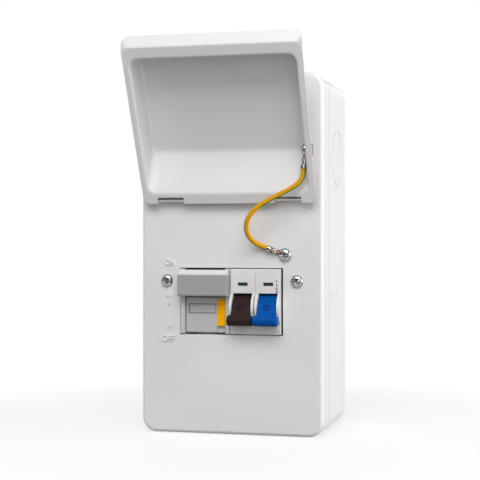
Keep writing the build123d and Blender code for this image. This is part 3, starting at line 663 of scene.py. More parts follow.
@dataclass(frozen=True)
class Palette:
    """All finishes of the unit."""

    powder: Finish = PowderCoat("powder_coat_white")
    jointed: Finish = PowderCoat("powder_coat_box", seam_mm=-66.0)
    screw: Finish = PlatedMetal("bright_zinc_screw", (0.40, 0.40, 0.405), 0.09, grain_mm=1.2)
    hinge: Finish = PlatedMetal(
        "nickel_hinge", (0.46, 0.43, 0.42), 0.10, grain=(1.0, 8.0, 8.0), grain_mm=0.9)
    zinc: Finish = PlatedMetal(
        "galvanised_steel", (0.46, 0.46, 0.45), 0.34, grain=(0.3, 1.0, 1.0), grain_mm=0.6,
        grain_depth_mm=0.008)
    tinned: Finish = PlatedMetal("tinned_copper", (0.42, 0.40, 0.38), 0.20, grain_mm=0.6)
    link: Finish = PlatedMetal("bare_copper", (0.72, 0.36, 0.22), 0.30, grain=(1.0, 1.0, 0.2), grain_mm=0.4)
    brass: Finish = PlatedMetal("plain_brass", (0.72, 0.54, 0.24), 0.28, grain=(0.2, 1.0, 1.0))
    cap: Finish = PlatedMetal(
        "fuse_cap_plate", (0.36, 0.35, 0.345), 0.44, grain=(1.0, 1.0, 0.1), grain_mm=0.8,
        grain_depth_mm=0.010)
    case: Finish = MouldedPlastic("switch_case_moulding", (0.70, 0.69, 0.67), 0.42)
    holder: Finish = MouldedPlastic("holder_moulding", (0.55, 0.575, 0.61), 0.40)
    carrier: Finish = CarrierPlastic("carrier_moulding", (0.50, 0.50, 0.505), 0.46, edge_mm=0.45)
    brown: Finish = MouldedPlastic("toggle_brown", (0.027, 0.014, 0.015), 0.46, drift=0.12, shine=0.08)
    blue: Finish = MouldedPlastic("toggle_blue", (0.0, 0.078, 0.335), 0.46, drift=0.08, shine=0.05)
    # Paddle mark colours are darker copies of the toggle colours: painted shade standing in for the shade in
    # each engraved ring.
    brown_mark: Finish = MouldedPlastic("toggle_brown_mark", (0.010, 0.005, 0.006), 0.40, shine=0.10)
    blue_mark: Finish = MouldedPlastic("toggle_blue_mark", (0.0, 0.030, 0.15), 0.40, shine=0.10)
    yellow: Finish = MouldedPlastic("slider_yellow", (0.98, 0.455, 0.001), 0.40, shine=0.10)
    dark: Finish = MouldedPlastic("clip_grey", (0.075, 0.075, 0.08), 0.5)
    ink: Finish = MouldedPlastic("mark_ink", (0.05, 0.05, 0.052), 0.5, edge_mm=0.0)
    ceramic: Finish = MouldedPlastic(
        "glazed_ceramic", (0.76, 0.74, 0.68), 0.22, grain_mm=1.2, grain_depth_mm=0.006)
    sleeve: Finish = StripedSleeve("striped_sleeve")
    copper: Finish = TwistedCopper("copper_strands")
    flag: Finish = FlagPrint("flag_print")


PALETTE = Palette()


def quads(rows: int, columns: int, wrap_rows: bool = False, wrap_columns: bool = False) -> np.ndarray:
    """Corner numbers of the squares of a grid of points.

    Args:
        rows: points in the first parameter.
        columns: points in the second parameter.
        wrap_rows: join the last row to the first.
        wrap_columns: join the last column to the first.

    Returns:
        An array of four corner numbers per square.
    """
    row, column = np.meshgrid(
        np.arange(rows if wrap_rows else rows - 1), np.arange(columns if wrap_columns else columns - 1),
        indexing="ij")
    next_row = (row + 1) % rows
    next_column = (column + 1) % columns
    around = [row * columns + column, row * columns + next_column,
              next_row * columns + next_column, next_row * columns + column]
    return np.stack(around, axis=-1).reshape(-1, 4)


def drawn_together(row: np.ndarray) -> np.ndarray:
    """A (1, n, 3) row of points moved to their middle, which closes an end."""
    return np.broadcast_to(row.mean(axis=1, keepdims=True), row.shape)


@dataclass(frozen=True)
class Axes:
    """A place with its own right, up and out directions."""

    origin: Point
    right: Point = RIGHTWARD
    out: Point = FORWARD

    def to_frame(self, points: np.ndarray) -> np.ndarray:
        """Carry points from these axes into the part's frame.

        Args:
            points: array whose last axis is (right, up, out).

        Returns:
            The same points as (x, y, z).
        """
        right = np.array(self.right) / np.linalg.norm(self.right)
        out = np.array(self.out) / np.linalg.norm(self.out)
        up = np.cross(out, right)
        return np.array(self.origin) + points @ np.stack([right, up, out])


class Piece:
    """A new visible piece, gathered from patches and then made one mesh."""

    def __init__(self, name: str) -> None:
        """Start with no patches.

        Args:
            name: name of the piece.
        """
        self.name = name
        self.points: List[np.ndarray] = []
        self.faces: List[List[int]] = []
        self.maps: List[np.ndarray] = []
        self.count = 0

    def patch(self, points: np.ndarray, faces: np.ndarray, wrap: Optional[np.ndarray] = None) -> None:
        """Add a patch.

        Args:
            points: points in millimetres, (x, y, z) along the last axis.
            faces: (n, 4) corner numbers within the patch.
            wrap: map coordinates of the points, or none.
        """
        flat = points.reshape(-1, 3)
        self.points.append(flat * MM)
        self.faces.extend((faces + self.count).tolist())
        self.maps.append(np.zeros((len(flat), 2)) if wrap is None else wrap.reshape(-1, 2))
        self.count += len(flat)

    def polygons(self, faces: Sequence[Sequence[int]]) -> None:
        """Add faces with any number of corners on the patch that was added last."""
        start = self.count - len(self.points[-1])
        self.faces.extend([corner + start for corner in face] for face in faces)

    def grid(
        self, points: np.ndarray, wrap_rows: bool = False, wrap_columns: bool = False,
        wrap: Optional[np.ndarray] = None,
    ) -> None:
        """Add a patch whose points are already on a grid."""
        rows, columns = points.shape[:2]
        self.patch(points, quads(rows, columns, wrap_rows, wrap_columns), wrap)

    def rod(self, path: np.ndarray, radius: float, sides: int) -> None:
        """Add a closed rod: path point plus a circle in the plane across the path.

        The circle's first direction is the outward one, -Y, less what of it points along the path. The
        rod's map is the share of a turn round it and the millimetres along it.

        Args:
            path: (n, 3) points.
            radius: radius of the rod.
            sides: points round it.
        """
        ahead = np.gradient(path, axis=0)
        ahead /= np.linalg.norm(ahead, axis=1)[:, None]
        outward = np.array(FORWARD)
        one = outward - ahead * (ahead @ outward)[:, None]
        one /= np.linalg.norm(one, axis=1)[:, None]
        two = np.cross(ahead, one)
        angle = np.linspace(0.0, FULL_TURN, sides + 1)
        circle = one[:, None] * np.cos(angle)[:, None] + two[:, None] * np.sin(angle)[:, None]
        along = np.concatenate([[0.0], np.cumsum(np.linalg.norm(np.diff(path, axis=0), axis=1))])
        wrap = np.stack(np.broadcast_arrays(angle / FULL_TURN, along[:, None]), axis=-1)
        points = path[:, None] + radius * circle
        self.grid(
            np.concatenate([drawn_together(points[:1]), points, drawn_together(points[-1:])]),
            wrap=np.concatenate([wrap[:1], wrap, wrap[-1:]]))

    def stamp(self, seat: Axes, outline: np.ndarray, eye: Pair, rise: float, soft: float) -> None:
        """Add a raised flat mark: its outline, drawn in and lifted along a quarter circle, then closed.

        Each corner is drawn in along the sum of its two edges' inward normals over 1 + the cosine between
        the edges, so that every edge moves in by the same width.

        Args:
            seat: middle of the mark on the face.
            outline: (n, 2) corners, anticlockwise.
            eye: a point that sees every corner from inside.
            rise: height of the mark.
            soft: width of its rounded edge.
        """
        quarter = np.linspace(0.0, QUARTER_TURN, STAMP_STEPS)
        before = outline - np.roll(outline, 1, axis=0)
        after = np.roll(outline, -1, axis=0) - outline
        before /= np.linalg.norm(before, axis=1)[:, None]
        after /= np.linalg.norm(after, axis=1)[:, None]
        inward = np.stack([-before[:, 1] - after[:, 1], before[:, 0] + after[:, 0]], axis=-1)
        inward /= 1.0 + (before * after).sum(axis=1)[:, None]
        drawn = outline + soft * (1 - np.cos(quarter))[:, None, None] * inward
        middle = np.broadcast_to(np.array(eye), outline.shape)[None]
        flat = np.concatenate([middle, drawn, middle])
        level = np.concatenate([[0.0], rise * np.sin(quarter), [rise]])
        height = np.broadcast_to(level[:, None], flat.shape[:2])
        self.grid(seat.to_frame(np.concatenate([flat, height[..., None]], axis=-1)), wrap_columns=True)

    def hoop(self, seat: Axes, half: Pair, line: float, rise: float, power: float) -> None:
        """Add a raised ring: a low half-round section carried round a superellipse.

        Args:
            seat: middle of the ring on the face.
            half: half width and half height of the ring's middle line.
            line: width of the section.
            rise: height of the section.
            power: 2 gives an ellipse, larger values a squarer ring.
        """
        turn = np.linspace(0.0, FULL_TURN, HOOP_STEPS[0], endpoint=False)
        lap = np.linspace(0.0, FULL_TURN, HOOP_STEPS[1], endpoint=False)
        squash = (np.abs(np.cos(turn)) ** power + np.abs(np.sin(turn)) ** power) ** (-1.0 / power)
        swell = 1.0 + line / 2 * np.cos(lap) / min(half)
        across = half[0] * (squash * np.cos(turn))[:, None] * swell
        along = half[1] * (squash * np.sin(turn))[:, None] * swell
        height = np.broadcast_to(rise * np.sin(lap), across.shape)
        self.grid(seat.to_frame(np.stack([across, along, height], axis=-1)), True, True)

    def make(
        self, finish: Finish, body: Body, replaces: Sequence[str] = (), mapped: bool = False,
        smooth_deg: float = 40.0, turn_out: bool = True,
    ) -> bpy.types.Object:
        """Make the mesh, dress it and let it ride.

        Args:
            finish: what it is dressed in.
            body: what it rides on.
            replaces: CAD nodes that it stands for.
            mapped: keep the patches' own map.
            smooth_deg: edges sharper than this stay sharp.
            turn_out: weld the patches' seams and turn all faces outwards.

        Returns:
            The new object.
        """
        mesh = bpy.data.meshes.new(self.name)
        mesh.from_pydata(np.concatenate(self.points), [], self.faces)
        if mapped:
            layer = mesh.uv_layers.new(name=WRAP_MAP)
            loops = np.empty(len(mesh.loops), dtype=np.int32)
            mesh.loops.foreach_get("vertex_index", loops)
            layer.uv.foreach_set("vector", np.concatenate(self.maps)[loops].astype(np.float32).ravel())
        if turn_out:
            shape = bmesh.new()
            shape.from_mesh(mesh)
            bmesh.ops.remove_doubles(shape, verts=shape.verts, dist=WELD)
            bmesh.ops.recalc_face_normals(shape, faces=shape.faces)
            shape.to_mesh(mesh)
            shape.free()
        mesh.shade_smooth()
        mesh.set_sharp_from_angle(angle=math.radians(smooth_deg))
        piece = linked(self.name, mesh)
        piece.data.materials.append(finish.material())
        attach(piece, body.value)
        if replaces:
            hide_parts(*replaces)
        LOG.info("%s: %d faces on %s", self.name, len(mesh.polygons), body.value)
        return piece


@dataclass
class Screw:
    """Pan head screw with a cross recess."""

    head_radius: float = 4.4
    head_height: float = 2.7
    dome_power: float = 2.3
    shank_radius: float = 2.0
    tip: float = 0.4
    recess_length: float = 5.0
    recess_width: float = 1.15
    recess_depth: float = 1.5
    flank: float = 0.22
    ramp_share: float = 0.5
    ramp_power: float = 0.7
    turn_deg: float = 20.0
    rings: int = 84
    spokes: int = 232

    def points(self, axes: Axes, shank: float) -> np.ndarray:
        """Surface of head and shank.

        The head is a superellipse turned about the axis, h(1-(r/R)^p)^(1/p). From its top the recess is
        taken away: two crossed wings with sloping floors, each a width ramp times a length ramp. Below
        the head the profile goes in to the shank and down to its end.

        Args:
            axes: seat of the head, with the head on the out side.
            shank: length below the seat.

        Returns:
            Grid of points, profile by turn.
        """
        share = np.sin(np.linspace(0.0, QUARTER_TURN, self.rings))
        stem = [self.shank_radius, self.shank_radius, self.shank_radius - self.tip, 0.0]
        radius = np.concatenate([share * self.head_radius, stem])
        dome = self.head_height * (1.0 - share ** self.dome_power) ** (1.0 / self.dome_power)
        height = np.concatenate([dome, [0.0, self.tip - shank, -shank, -shank]])
        angle = np.linspace(0.0, FULL_TURN, self.spokes, endpoint=False)
        across = radius[:, None] * np.cos(angle)
        along = radius[:, None] * np.sin(angle)
        depth = np.maximum(self.wing(across, along), self.wing(along, across))
        on_head = (np.arange(len(radius)) < self.rings)[:, None]
        level = height[:, None] - np.where(on_head, depth, 0.0)
        spin = math.radians(self.turn_deg)
        grid = np.stack([
            across * math.cos(spin) - along * math.sin(spin),
            across * math.sin(spin) + along * math.cos(spin), level], axis=-1)
        return axes.to_frame(grid)

    def wing(self, along: np.ndarray, across: np.ndarray) -> np.ndarray:
        """Depth of one recess wing.

        Args:
            along: distance along the wing.
            across: distance across it.

        Returns:
            Depth at each point.
        """
        reach = self.recess_length / 2
        narrow = np.clip((self.recess_width / 2 - np.abs(across)) / self.flank, 0.0, 1.0)
        slope = np.clip((reach - np.abs(along)) / (self.ramp_share * reach), 0.0, 1.0)
        return self.recess_depth * narrow * slope ** self.ramp_power


def place_screws(
    name: str, seats: Sequence[Axes], shank: float, body: Body, node: str, turn_deg: float,
) -> bpy.types.Object:
    """Make the screws that stand for one CAD node.

    Args:
        name: name of the piece.
        seats: seat of each screw.
        shank: length below the seat.
        body: body they ride on.
        node: node they stand for.
        turn_deg: turn of the first recess; each next one is turned on a little.

    Returns:
        The piece.
    """
    piece = Piece(name)
    for number, seat in enumerate(seats):
        screw = Screw(turn_deg=turn_deg + RECESS_STEP_DEG * number)
        piece.grid(screw.points(seat, shank), wrap_columns=True)
    return piece.make(PALETTE.screw, body, [node])


def swung(points: np.ndarray) -> np.ndarray:
    """Turn points of the shut lid open about the hinge's line: y' = cy + sz, z' = cz - sy.

    Args:
        points: array whose last axis is (x, y, z) from the hinge's axis.

    Returns:
        The same points with the lid open, still from the hinge's axis.
    """
    turn = math.radians(LID_OPEN_DEG)
    across, depth, up = points[..., 0], points[..., 1], points[..., 2]
    return np.stack([
        across, depth * math.cos(turn) + up * math.sin(turn),
        up * math.cos(turn) - depth * math.sin(turn)], axis=-1)


def on_open_lid(points: np.ndarray) -> np.ndarray:
    """Points of the shut lid, from the hinge's axis, in the part's frame with the lid open."""
    return swung(points) + np.array(HINGE_AXIS)


@dataclass(frozen=True)
class Rim:
    """A rounded rectangle on the shut lid, with heights from the hinge's axis."""

    half: float
    top: float
    low: float
    corner: float

    def row(self) -> np.ndarray:
        """Half width, heights of the hinge end and the far end, and corner radius."""
        return np.array([self.half, self.top, self.low, self.corner])


@dataclass(frozen=True)
class RingShares:
    """Shares of the points round a ring, which every ring of the lid has in common.

    They are x along an end (run), side of the point's corner (side), its place between the hinge end and
    the far end (fall), its unit arc vector (arc_x, arc_z) and its share of the hinge end's slope (slope).
    """

    run: np.ndarray
    side: np.ndarray
    fall: np.ndarray
    arc_x: np.ndarray
    arc_z: np.ndarray
    slope: np.ndarray


@dataclass
class LidPressing:
    """The drawn lid: a flange with hinge notches and an angled lip, and a tray that slopes at one end."""

    sheet: float = 1.2
    back: float = 3.2
    outline: Rim = Rim(60.5, 2.0, -115.85, 4.8)
    notch_foot: Rim = Rim(58.5, -2.6, -110.9, 3.6)
    lip_foot: Rim = Rim(58.0, -3.2, -108.9, 3.6)
    opening: Rim = Rim(56.1, -5.5, -101.9, 6.4)
    corner_draw: float = 0.15
    end_gap: float = 0.5
    lip_apex: float = -109.9
    fold: float = 0.6
    depth: float = 17.6
    draft_deg: float = 6.0
    slope_deg: float = 36.0
    edge_radius: Pair = (1.4, 4.0)
    floor_radius: Pair = (3.0, 6.0)
    notch_x: Pair = (31.6, 50.4)
    sharp_deg: float = 35.0
    corner_steps: int = 14
    side_steps: int = 26
    flange_rings: int = 8
    edge_steps: int = 9
    wall_steps: int = 8
    floor_steps: int = 17

    def end_run(self) -> np.ndarray:
        """Places of the points along an end, with a notch between the outer two on each side."""
        near, far = self.notch_x
        return np.array([-far, -near, -near / 2, 0.0, near / 2, near, far])

    def shares(self) -> RingShares:
        """Shares of the points round every ring, clockwise from the hinge end's left corner.

        Returns:
            The shares, group by group: end, corner, side, corner, end, corner, side, corner.
        """
        run = self.end_run()
        fall = np.linspace(0.0, 1.0, self.side_steps)[1:-1]
        arc = np.linspace(0.0, QUARTER_TURN, self.corner_steps)
        zero, one = np.zeros_like, np.ones_like
        groups = (
            (run, zero(run), zero(run), zero(run), one(run)),
            (zero(arc), one(arc), zero(arc), np.sin(arc), np.cos(arc)),
            (zero(fall), one(fall), fall, one(fall), zero(fall)),
            (zero(arc), one(arc), one(arc), np.cos(arc), -np.sin(arc)),
            (run[::-1], zero(run), one(run), zero(run), -one(run)),
            (zero(arc), -one(arc), one(arc), -np.sin(arc), -np.cos(arc)),
            (zero(fall), -one(fall), fall[::-1], -one(fall), zero(fall)),
            (zero(arc), -one(arc), zero(arc), -np.cos(arc), np.sin(arc)))
        run, side, fall, arc_x, arc_z = (np.concatenate(parts) for parts in zip(*groups))
        slope = np.where(fall == 0.0, np.clip(arc_z, 0.0, 1.0) ** 2, 0.0)
        return RingShares(run, side, fall, arc_x, arc_z, slope)

    def profile(self, turn_deg: float, edge: float, floor: float) -> Tuple[np.ndarray, np.ndarray]:
        """One wall from the flange to the tray's floor: an arc down, a straight run and an arc to the floor.

        Args:
            turn_deg: angle of the wall below the flange.
            edge: radius at the opening.
            floor: radius at the floor.

        Returns:
            Inset and depth of each point.
        """
        turn = math.radians(turn_deg)
        first = np.linspace(0.0, turn, self.edge_steps)
        last = np.linspace(turn, 0.0, self.floor_steps)
        reach = math.tan(turn / 2)
        apex = self.depth / math.tan(turn)
        tangent = floor * reach
        start = np.array([apex - tangent * math.cos(turn), self.depth - tangent * math.sin(turn)])
        lip = np.stack([edge * (np.sin(first) - reach), edge * (1.0 - np.cos(first))])
        round_in = np.stack([math.sin(turn) - np.sin(last), np.cos(last) - math.cos(turn)])
        bend = start[:, None] + floor * round_in
        share = np.linspace(0.0, 1.0, self.wall_steps)[1:-1]
        wall = lip[:, -1:] + (bend[:, :1] - lip[:, -1:]) * share
        inset, depth = np.concatenate([lip, wall, bend], axis=1)
        return inset, depth

    def surface(self) -> np.ndarray:
        """Inner face of the lid, shut: rounded rectangles whose sides step in and down along the profiles.

        Past the lip's fold the flange drops by its distance from the fold, by way of a short parabola.

        Returns:
            Grid of points, ring by column.
        """
        at = self.shares()
        flat = np.linspace(self.notch_foot.row(), self.lip_foot.row(), self.flange_rings)
        side_in, side_down = self.profile(90.0 - self.draft_deg, self.edge_radius[0], self.floor_radius[0])
        end_in, end_down = self.profile(self.slope_deg, self.edge_radius[1], self.floor_radius[1])
        half, top, low, corner = self.opening.row()
        tray = np.stack(
            [half - side_in, top - end_in, low + side_in, corner - self.corner_draw * side_down], axis=-1)
        rings = np.concatenate([self.outline.row()[None], flat, tray])
        half, top, low, corner = (column[:, None] for column in rings.T)
        straight = np.minimum(half - corner - self.end_gap, self.notch_x[1]) / self.notch_x[1]
        x = at.run * straight + at.side * (half - corner) + corner * at.arc_x
        z = (1.0 - at.fall) * (top - corner) + at.fall * (low + corner) + corner * at.arc_z
        past = self.lip_apex - z
        eased = np.clip(past + self.fold, 0.0, None) ** 2 / (4.0 * self.fold)
        bent = np.where(past > self.fold, past, eased)
        drop = side_down[:, None] + at.slope * (end_down - side_down)[:, None]
        y = self.back - np.concatenate([bent[:len(flat) + 1], drop])
        return np.stack([x, y, z], axis=-1)

    def build(self) -> None:
        """Make the sheet with its two notches open, close its floor and give it its thickness."""
        points = self.surface()
        rows, count = points.shape[:2]
        run = self.end_run()
        notches = np.flatnonzero(np.abs(run[:-1] + run[1:]) / 2 > self.notch_x[0])
        piece = Piece("lid_pressing")
        piece.patch(on_open_lid(points), np.delete(quads(rows, count, wrap_columns=True), notches, axis=0))
        piece.polygons([range((rows - 1) * count, rows * count)])
        lid = piece.make(PALETTE.powder, Body.LID, ["lid"], turn_out=False)
        wall = lid.modifiers.new("sheet", "SOLIDIFY")
        wall.thickness = self.sheet * MM
        wall.offset = -1.0
        wall.use_quality_normals = True
        drawn = shaped_mesh(lid)
        lid.modifiers.clear()
        lid.data = drawn
        drawn.set_sharp_from_angle(angle=math.radians(self.sharp_deg))


@dataclass
class LidHinges:
    """The lid's two hinge leaves: a welded strip with a rolled knuckle at each end."""

    middle_x: float = 41.0
    length: float = 18.0
    knuckle: float = 5.8667
    roll_radius: float = 2.2
    bore_radius: float = 1.15
    strip_outer: Tuple[Pair, ...] = ((2.0, -5.0), (2.0, -2.9), (1.6, -2.66), (1.1, -2.45))
    strip_inner: Tuple[Pair, ...] = ((1.2, -5.0), (1.2, -3.3), (0.8, -3.0), (0.4, -2.7))
    roll_deg: Pair = (18.0, 338.0)
    roll_steps: int = 48
    smooth_deg: float = 50.0

    def section(self) -> Tuple[np.ndarray, np.ndarray]:
        """Outer and inner line of the rolled sheet: the strip's end, then r(sin a, -cos a) round the pin.

        Returns:
            Two (n, 2) arrays of (y, z) with the lid shut.
        """
        angle = np.radians(np.linspace(*self.roll_deg, self.roll_steps))
        ring = np.stack([np.sin(angle), -np.cos(angle)], axis=-1)
        outer = np.concatenate([np.array(self.strip_outer), self.roll_radius * ring])
        inner = np.concatenate([np.array(self.strip_inner), self.bore_radius * ring])
        return outer, inner

    def carry(self, piece: Piece, outer: np.ndarray, inner: np.ndarray, ends: Pair) -> None:
        """Carry a section from one x to another and close both ends.

        Args:
            piece: piece to add to.
            outer: (n, 2) outer line as (y, z).
            inner: (n, 2) inner line as (y, z).
            ends: first and last x.
        """
        loop = np.concatenate([outer, inner[::-1]])
        sides = np.stack([np.column_stack([np.full(len(loop), x), loop]) for x in ends])
        piece.grid(on_open_lid(sides), wrap_columns=True)
        for x in ends:
            cap = np.stack([np.column_stack([np.full(len(line), x), line]) for line in (outer, inner)])
            piece.grid(on_open_lid(cap))

    def build(self) -> None:
        """Make both leaves."""
        outer, inner = self.section()
        for hand, side in (("left", -1.0), ("right", 1.0)):
            piece = Piece("lid_hinge_roll_" + hand)
            first = side * self.middle_x - self.length / 2
            last = first + self.length
            self.carry(piece, outer, inner, (first, first + self.knuckle))
            self.carry(piece, outer, inner, (last - self.knuckle, last))
            self.carry(piece, outer[:2], inner[:2], (first + self.knuckle, last - self.knuckle))
            leaf = "lid_hinge_leaf_" + hand
            piece.make(PALETTE.hinge, Body.LID, [leaf], smooth_deg=self.smooth_deg)


@dataclass(frozen=True)
class Terminal:
    """One of the lead's terminals: its piece, its body, and the nodes that it and its screw stand for."""

    name: str
    body: Body
    node: str
    screw_node: str
    screw_turn_deg: float


@dataclass(frozen=True)
class Crimp:
    """One crimp of a terminal: a rolled wall whose top has a dent where its two wings meet."""

    start: float
    length: float
    radius: float
    dent: float
    dent_spread: float = 0.30
    wall: float = 0.5
    least_bore: float = 0.4
    lead_in: Pair = (0.12, 0.4)
    flare: Tuple[float, ...] = (-0.14, 0.0, 0.05, -0.05, 0.05, 0.0, -0.14)
    steps: int = 48

    def shell(self, size: np.ndarray, centre: float) -> np.ndarray:
        """One face of the wall: (s, r cos a, h + r sin a) along the barrel and round it.

        Args:
            size: radius at each point, place along the crimp by turn.
            centre: height of the crimp's axis over the seat.

        Returns:
            Grid of points as (right, up, out).
        """
        near, far = self.lead_in
        length = self.length
        along = np.array([0.0, near, far, length / 2, length - far, length - near, length]) + self.start
        turn = np.linspace(0.0, FULL_TURN, self.steps, endpoint=False)
        return np.stack([
            np.broadcast_to(along[:, None], size.shape), size * np.cos(turn),
            centre + size * np.sin(turn)], axis=-1)

    def points(self, centre: float) -> np.ndarray:
        """Closed wall: the outer face, then the inner face back to the start; the dent is d exp(-(a/w)^2).

        Args:
            centre: height of the crimp's axis over the seat.

        Returns:
            Grid of points as (right, up, out).
        """
        turn = np.linspace(0.0, FULL_TURN, self.steps, endpoint=False)
        groove = self.dent * np.exp(-((turn - QUARTER_TURN) / self.dent_spread) ** 2)
        size = self.radius + np.array(self.flare)[:, None] - groove
        outer = self.shell(size, centre)
        inner = self.shell(np.maximum(size - self.wall, self.least_bore), centre)
        return np.concatenate([outer, inner[::-1], outer[:1]])


@dataclass
class BondingLead:
    """Sleeved wire from the lid to the cover, with its two crimped terminals."""

    radius: float = 1.6
    sides: int = 28
    loop: Tuple[Point, ...] = (
        (50.6, -101.3, 48.2), (45.4, -101.8, 44.6), (37.8, -102.4, 40.6), (28.6, -103.2, 36.2),
        (20.2, -104.2, 30.6), (14.6, -103.6, 23.2), (13.6, -99.6, 14.6), (17.0, -93.6, 8.6))
    spline_steps: int = 14
    seat: float = 10.0
    exit: float = 16.2
    sheet: float = 0.8
    ring_radius: float = 4.0
    bore_radius: float = 2.3
    ring_power: float = 0.45
    ring_steps: Tuple[int, int] = (73, 17)
    tongue_ends: Pair = (3.1, 12.2)
    tongue_along: Tuple[float, ...] = (3.0, 5.0, 6.0, 12.5)
    tongue_half: Tuple[float, ...] = (2.6, 1.6, 1.55, 1.9)
    tongue_curl: Tuple[float, ...] = (0.0, 0.9, 1.2, 1.1)
    tongue_lift: float = 0.02
    tongue_sheet: float = 0.62
    tongue_steps: Tuple[int, int] = (30, 15)
    strand_crimp: Crimp = Crimp(start=5.7, length=3.0, radius=1.75, dent=0.34)
    sleeve_crimp: Crimp = Crimp(start=9.8, length=2.7, radius=2.3, dent=0.16)
    strand_start: Pair = (3.6, 1.35)
    strand_past: float = 0.4
    strand_radius: float = 1.15
    strand_steps: int = 24
    strand_sides: int = 24
    smooth_deg: float = 35.0
    lid_rise: float = 11.0
    lid_stand_off: float = 4.0
    lid_gap: float = 0.8
    lid_run: float = 32.0
    lid_turn_deg: float = 30.0
    cover_seat: Point = (37.8, COVER_FACE, 0.0)
    cover_turn_deg: float = 160.0
    shank: float = 5.2
    lid_end: Terminal = Terminal("lid_terminal", Body.LID, "lid_ring_terminal", "lid_earth_screw", 12.0)
    cover_end: Terminal = Terminal(
        "cover_terminal", Body.ENCLOSURE, "cover_ring_terminal", "cover_earth_screw", 35.0)

    @property
    def floor(self) -> float:
        """Height of the barrel's lowest line over the terminal's seat."""
        return self.sheet / 4

    @property
    def height(self) -> float:
        """Height of the barrel's axis over the terminal's seat."""
        return self.sleeve_crimp.radius + self.floor

    def cover_axes(self) -> Axes:
        """Seat of the cover's terminal."""
        turn = math.radians(self.cover_turn_deg)
        return Axes(self.cover_seat, (math.cos(turn), 0.0, math.sin(turn)))

    def lid_axes(self) -> Axes:
        """Seat of the lid's terminal, found on the shut lid's side wall and then swung open.

        Returns:
            The seat in the part's frame.
        """
        pressing = LidPressing()
        draft = math.radians(pressing.draft_deg)
        turn = math.radians(self.lid_turn_deg)
        out = np.array([-math.cos(draft), math.sin(draft), 0.0])
        right = np.array([
            math.sin(turn) * math.sin(draft), math.sin(turn) * math.cos(draft), math.cos(turn)])
        wall = pressing.opening.half - (self.lid_rise - self.lid_gap) * math.tan(draft)
        origin = on_open_lid(np.array([wall, self.lid_stand_off - self.lid_rise, -self.lid_run]))
        return Axes(tuple(origin), tuple(swung(right)), tuple(swung(out)))

    def route(self) -> np.ndarray:
        """Control points of the wire, from inside the lid's barrel to inside the cover's."""
        ends = np.array([[self.seat, 0.0, self.height], [self.exit, 0.0, self.height]])
        return np.concatenate([
            self.lid_axes().to_frame(ends), np.array(self.loop), self.cover_axes().to_frame(ends[::-1])])

    def spline(self) -> np.ndarray:
        """Points along the quadratic NURBS spline of the route's control points.

        Returns:
            (n, 3) array in millimetres.
        """
        control = self.route() * MM
        curve = bpy.data.curves.new("lead_route", "CURVE")
        curve.dimensions = "3D"
        curve.resolution_u = self.spline_steps
        line = curve.splines.new("NURBS")
        line.points.add(len(control) - 1)
        line.points.foreach_set("co", np.column_stack([control, np.ones(len(control))]).ravel())
        line.order_u = 3
        line.use_endpoint_u = True
        guide = linked("lead_route", curve)
        points = mesh_points(shaped_mesh(guide))
        bpy.data.objects.remove(guide)
        return points / MM

    def build_wire(self) -> None:
        """Make the sleeve along the route, with a mesh of its own."""
        path = self.spline()
        piece = Piece("bonding_lead")
        piece.rod(path, self.radius, self.sides)
        wire = piece.make(PALETTE.sleeve, Body.ENCLOSURE, ["earth_lead"], mapped=True)
        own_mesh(wire)

    def ring(self) -> np.ndarray:
        """The terminal's eye: a squared section, (cos b)^p and (sin b)^p with signs, carried round a circle.

        Returns:
            Grid of points as (right, up, out).
        """
        turn, lap = (np.linspace(0.0, FULL_TURN, steps) for steps in self.ring_steps)
        middle = (self.ring_radius + self.bore_radius) / 2
        half = (self.ring_radius - self.bore_radius) / 2
        square, lift = (
            np.sign(part) * np.abs(part) ** self.ring_power for part in (np.cos(lap), np.sin(lap)))
        reach = middle + half * square
        return np.stack([
            np.cos(turn)[:, None] * reach, np.sin(turn)[:, None] * reach,
            np.broadcast_to(self.sheet / 2 * (1 + lift), (len(turn), len(lap)))], axis=-1)

    def tongue(self) -> np.ndarray:
        """The strip that joins ring and crimps, curling up at its sides as it goes: rise = k(s) y^2.

        Returns:
            Grid of points as (right, up, out), along by round.
        """
        steps, lanes = self.tongue_steps
        along = np.linspace(*self.tongue_ends, steps)
        across = np.linspace(-1.0, 1.0, lanes)
        width = np.interp(along, self.tongue_along, self.tongue_half)
        curl = np.interp(along, self.tongue_along, self.tongue_curl)
        low = np.stack([
            np.broadcast_to(along[:, None], (steps, lanes)), width[:, None] * across,
            curl[:, None] * across ** 2 + self.tongue_lift], axis=-1)
        high = low + np.array([0.0, 0.0, self.tongue_sheet])
        return np.concatenate([low, high[:, ::-1]], axis=1)

    def build_terminal(self, end: Terminal, axes: Axes) -> None:
        """Make one terminal: a rounded ring, a tongue, two crimps and the strands between them.

        Args:
            end: which terminal.
            axes: seat of its ring.
        """
        piece = Piece(end.name)
        piece.grid(axes.to_frame(self.ring()))
        strip = axes.to_frame(self.tongue())
        piece.grid(strip, wrap_columns=True)
        for tip in (strip[:1], strip[-1:]):
            piece.grid(np.concatenate([drawn_together(tip), tip]), wrap_columns=True)
        for crimp in (self.strand_crimp, self.sleeve_crimp):
            piece.grid(axes.to_frame(crimp.points(self.floor + crimp.radius)), wrap_columns=True)
        piece.make(PALETTE.tinned, end.body, [end.node], smooth_deg=self.smooth_deg)
        start = np.array([self.strand_start[0], 0.0, self.strand_start[1]])
        last = np.array([self.seat + self.strand_past, 0.0, self.height])
        core = Piece(end.name + "_strands")
        line = axes.to_frame(np.linspace(start, last, self.strand_steps))
        core.rod(line, self.strand_radius, self.strand_sides)
        core.make(PALETTE.copper, end.body, mapped=True)

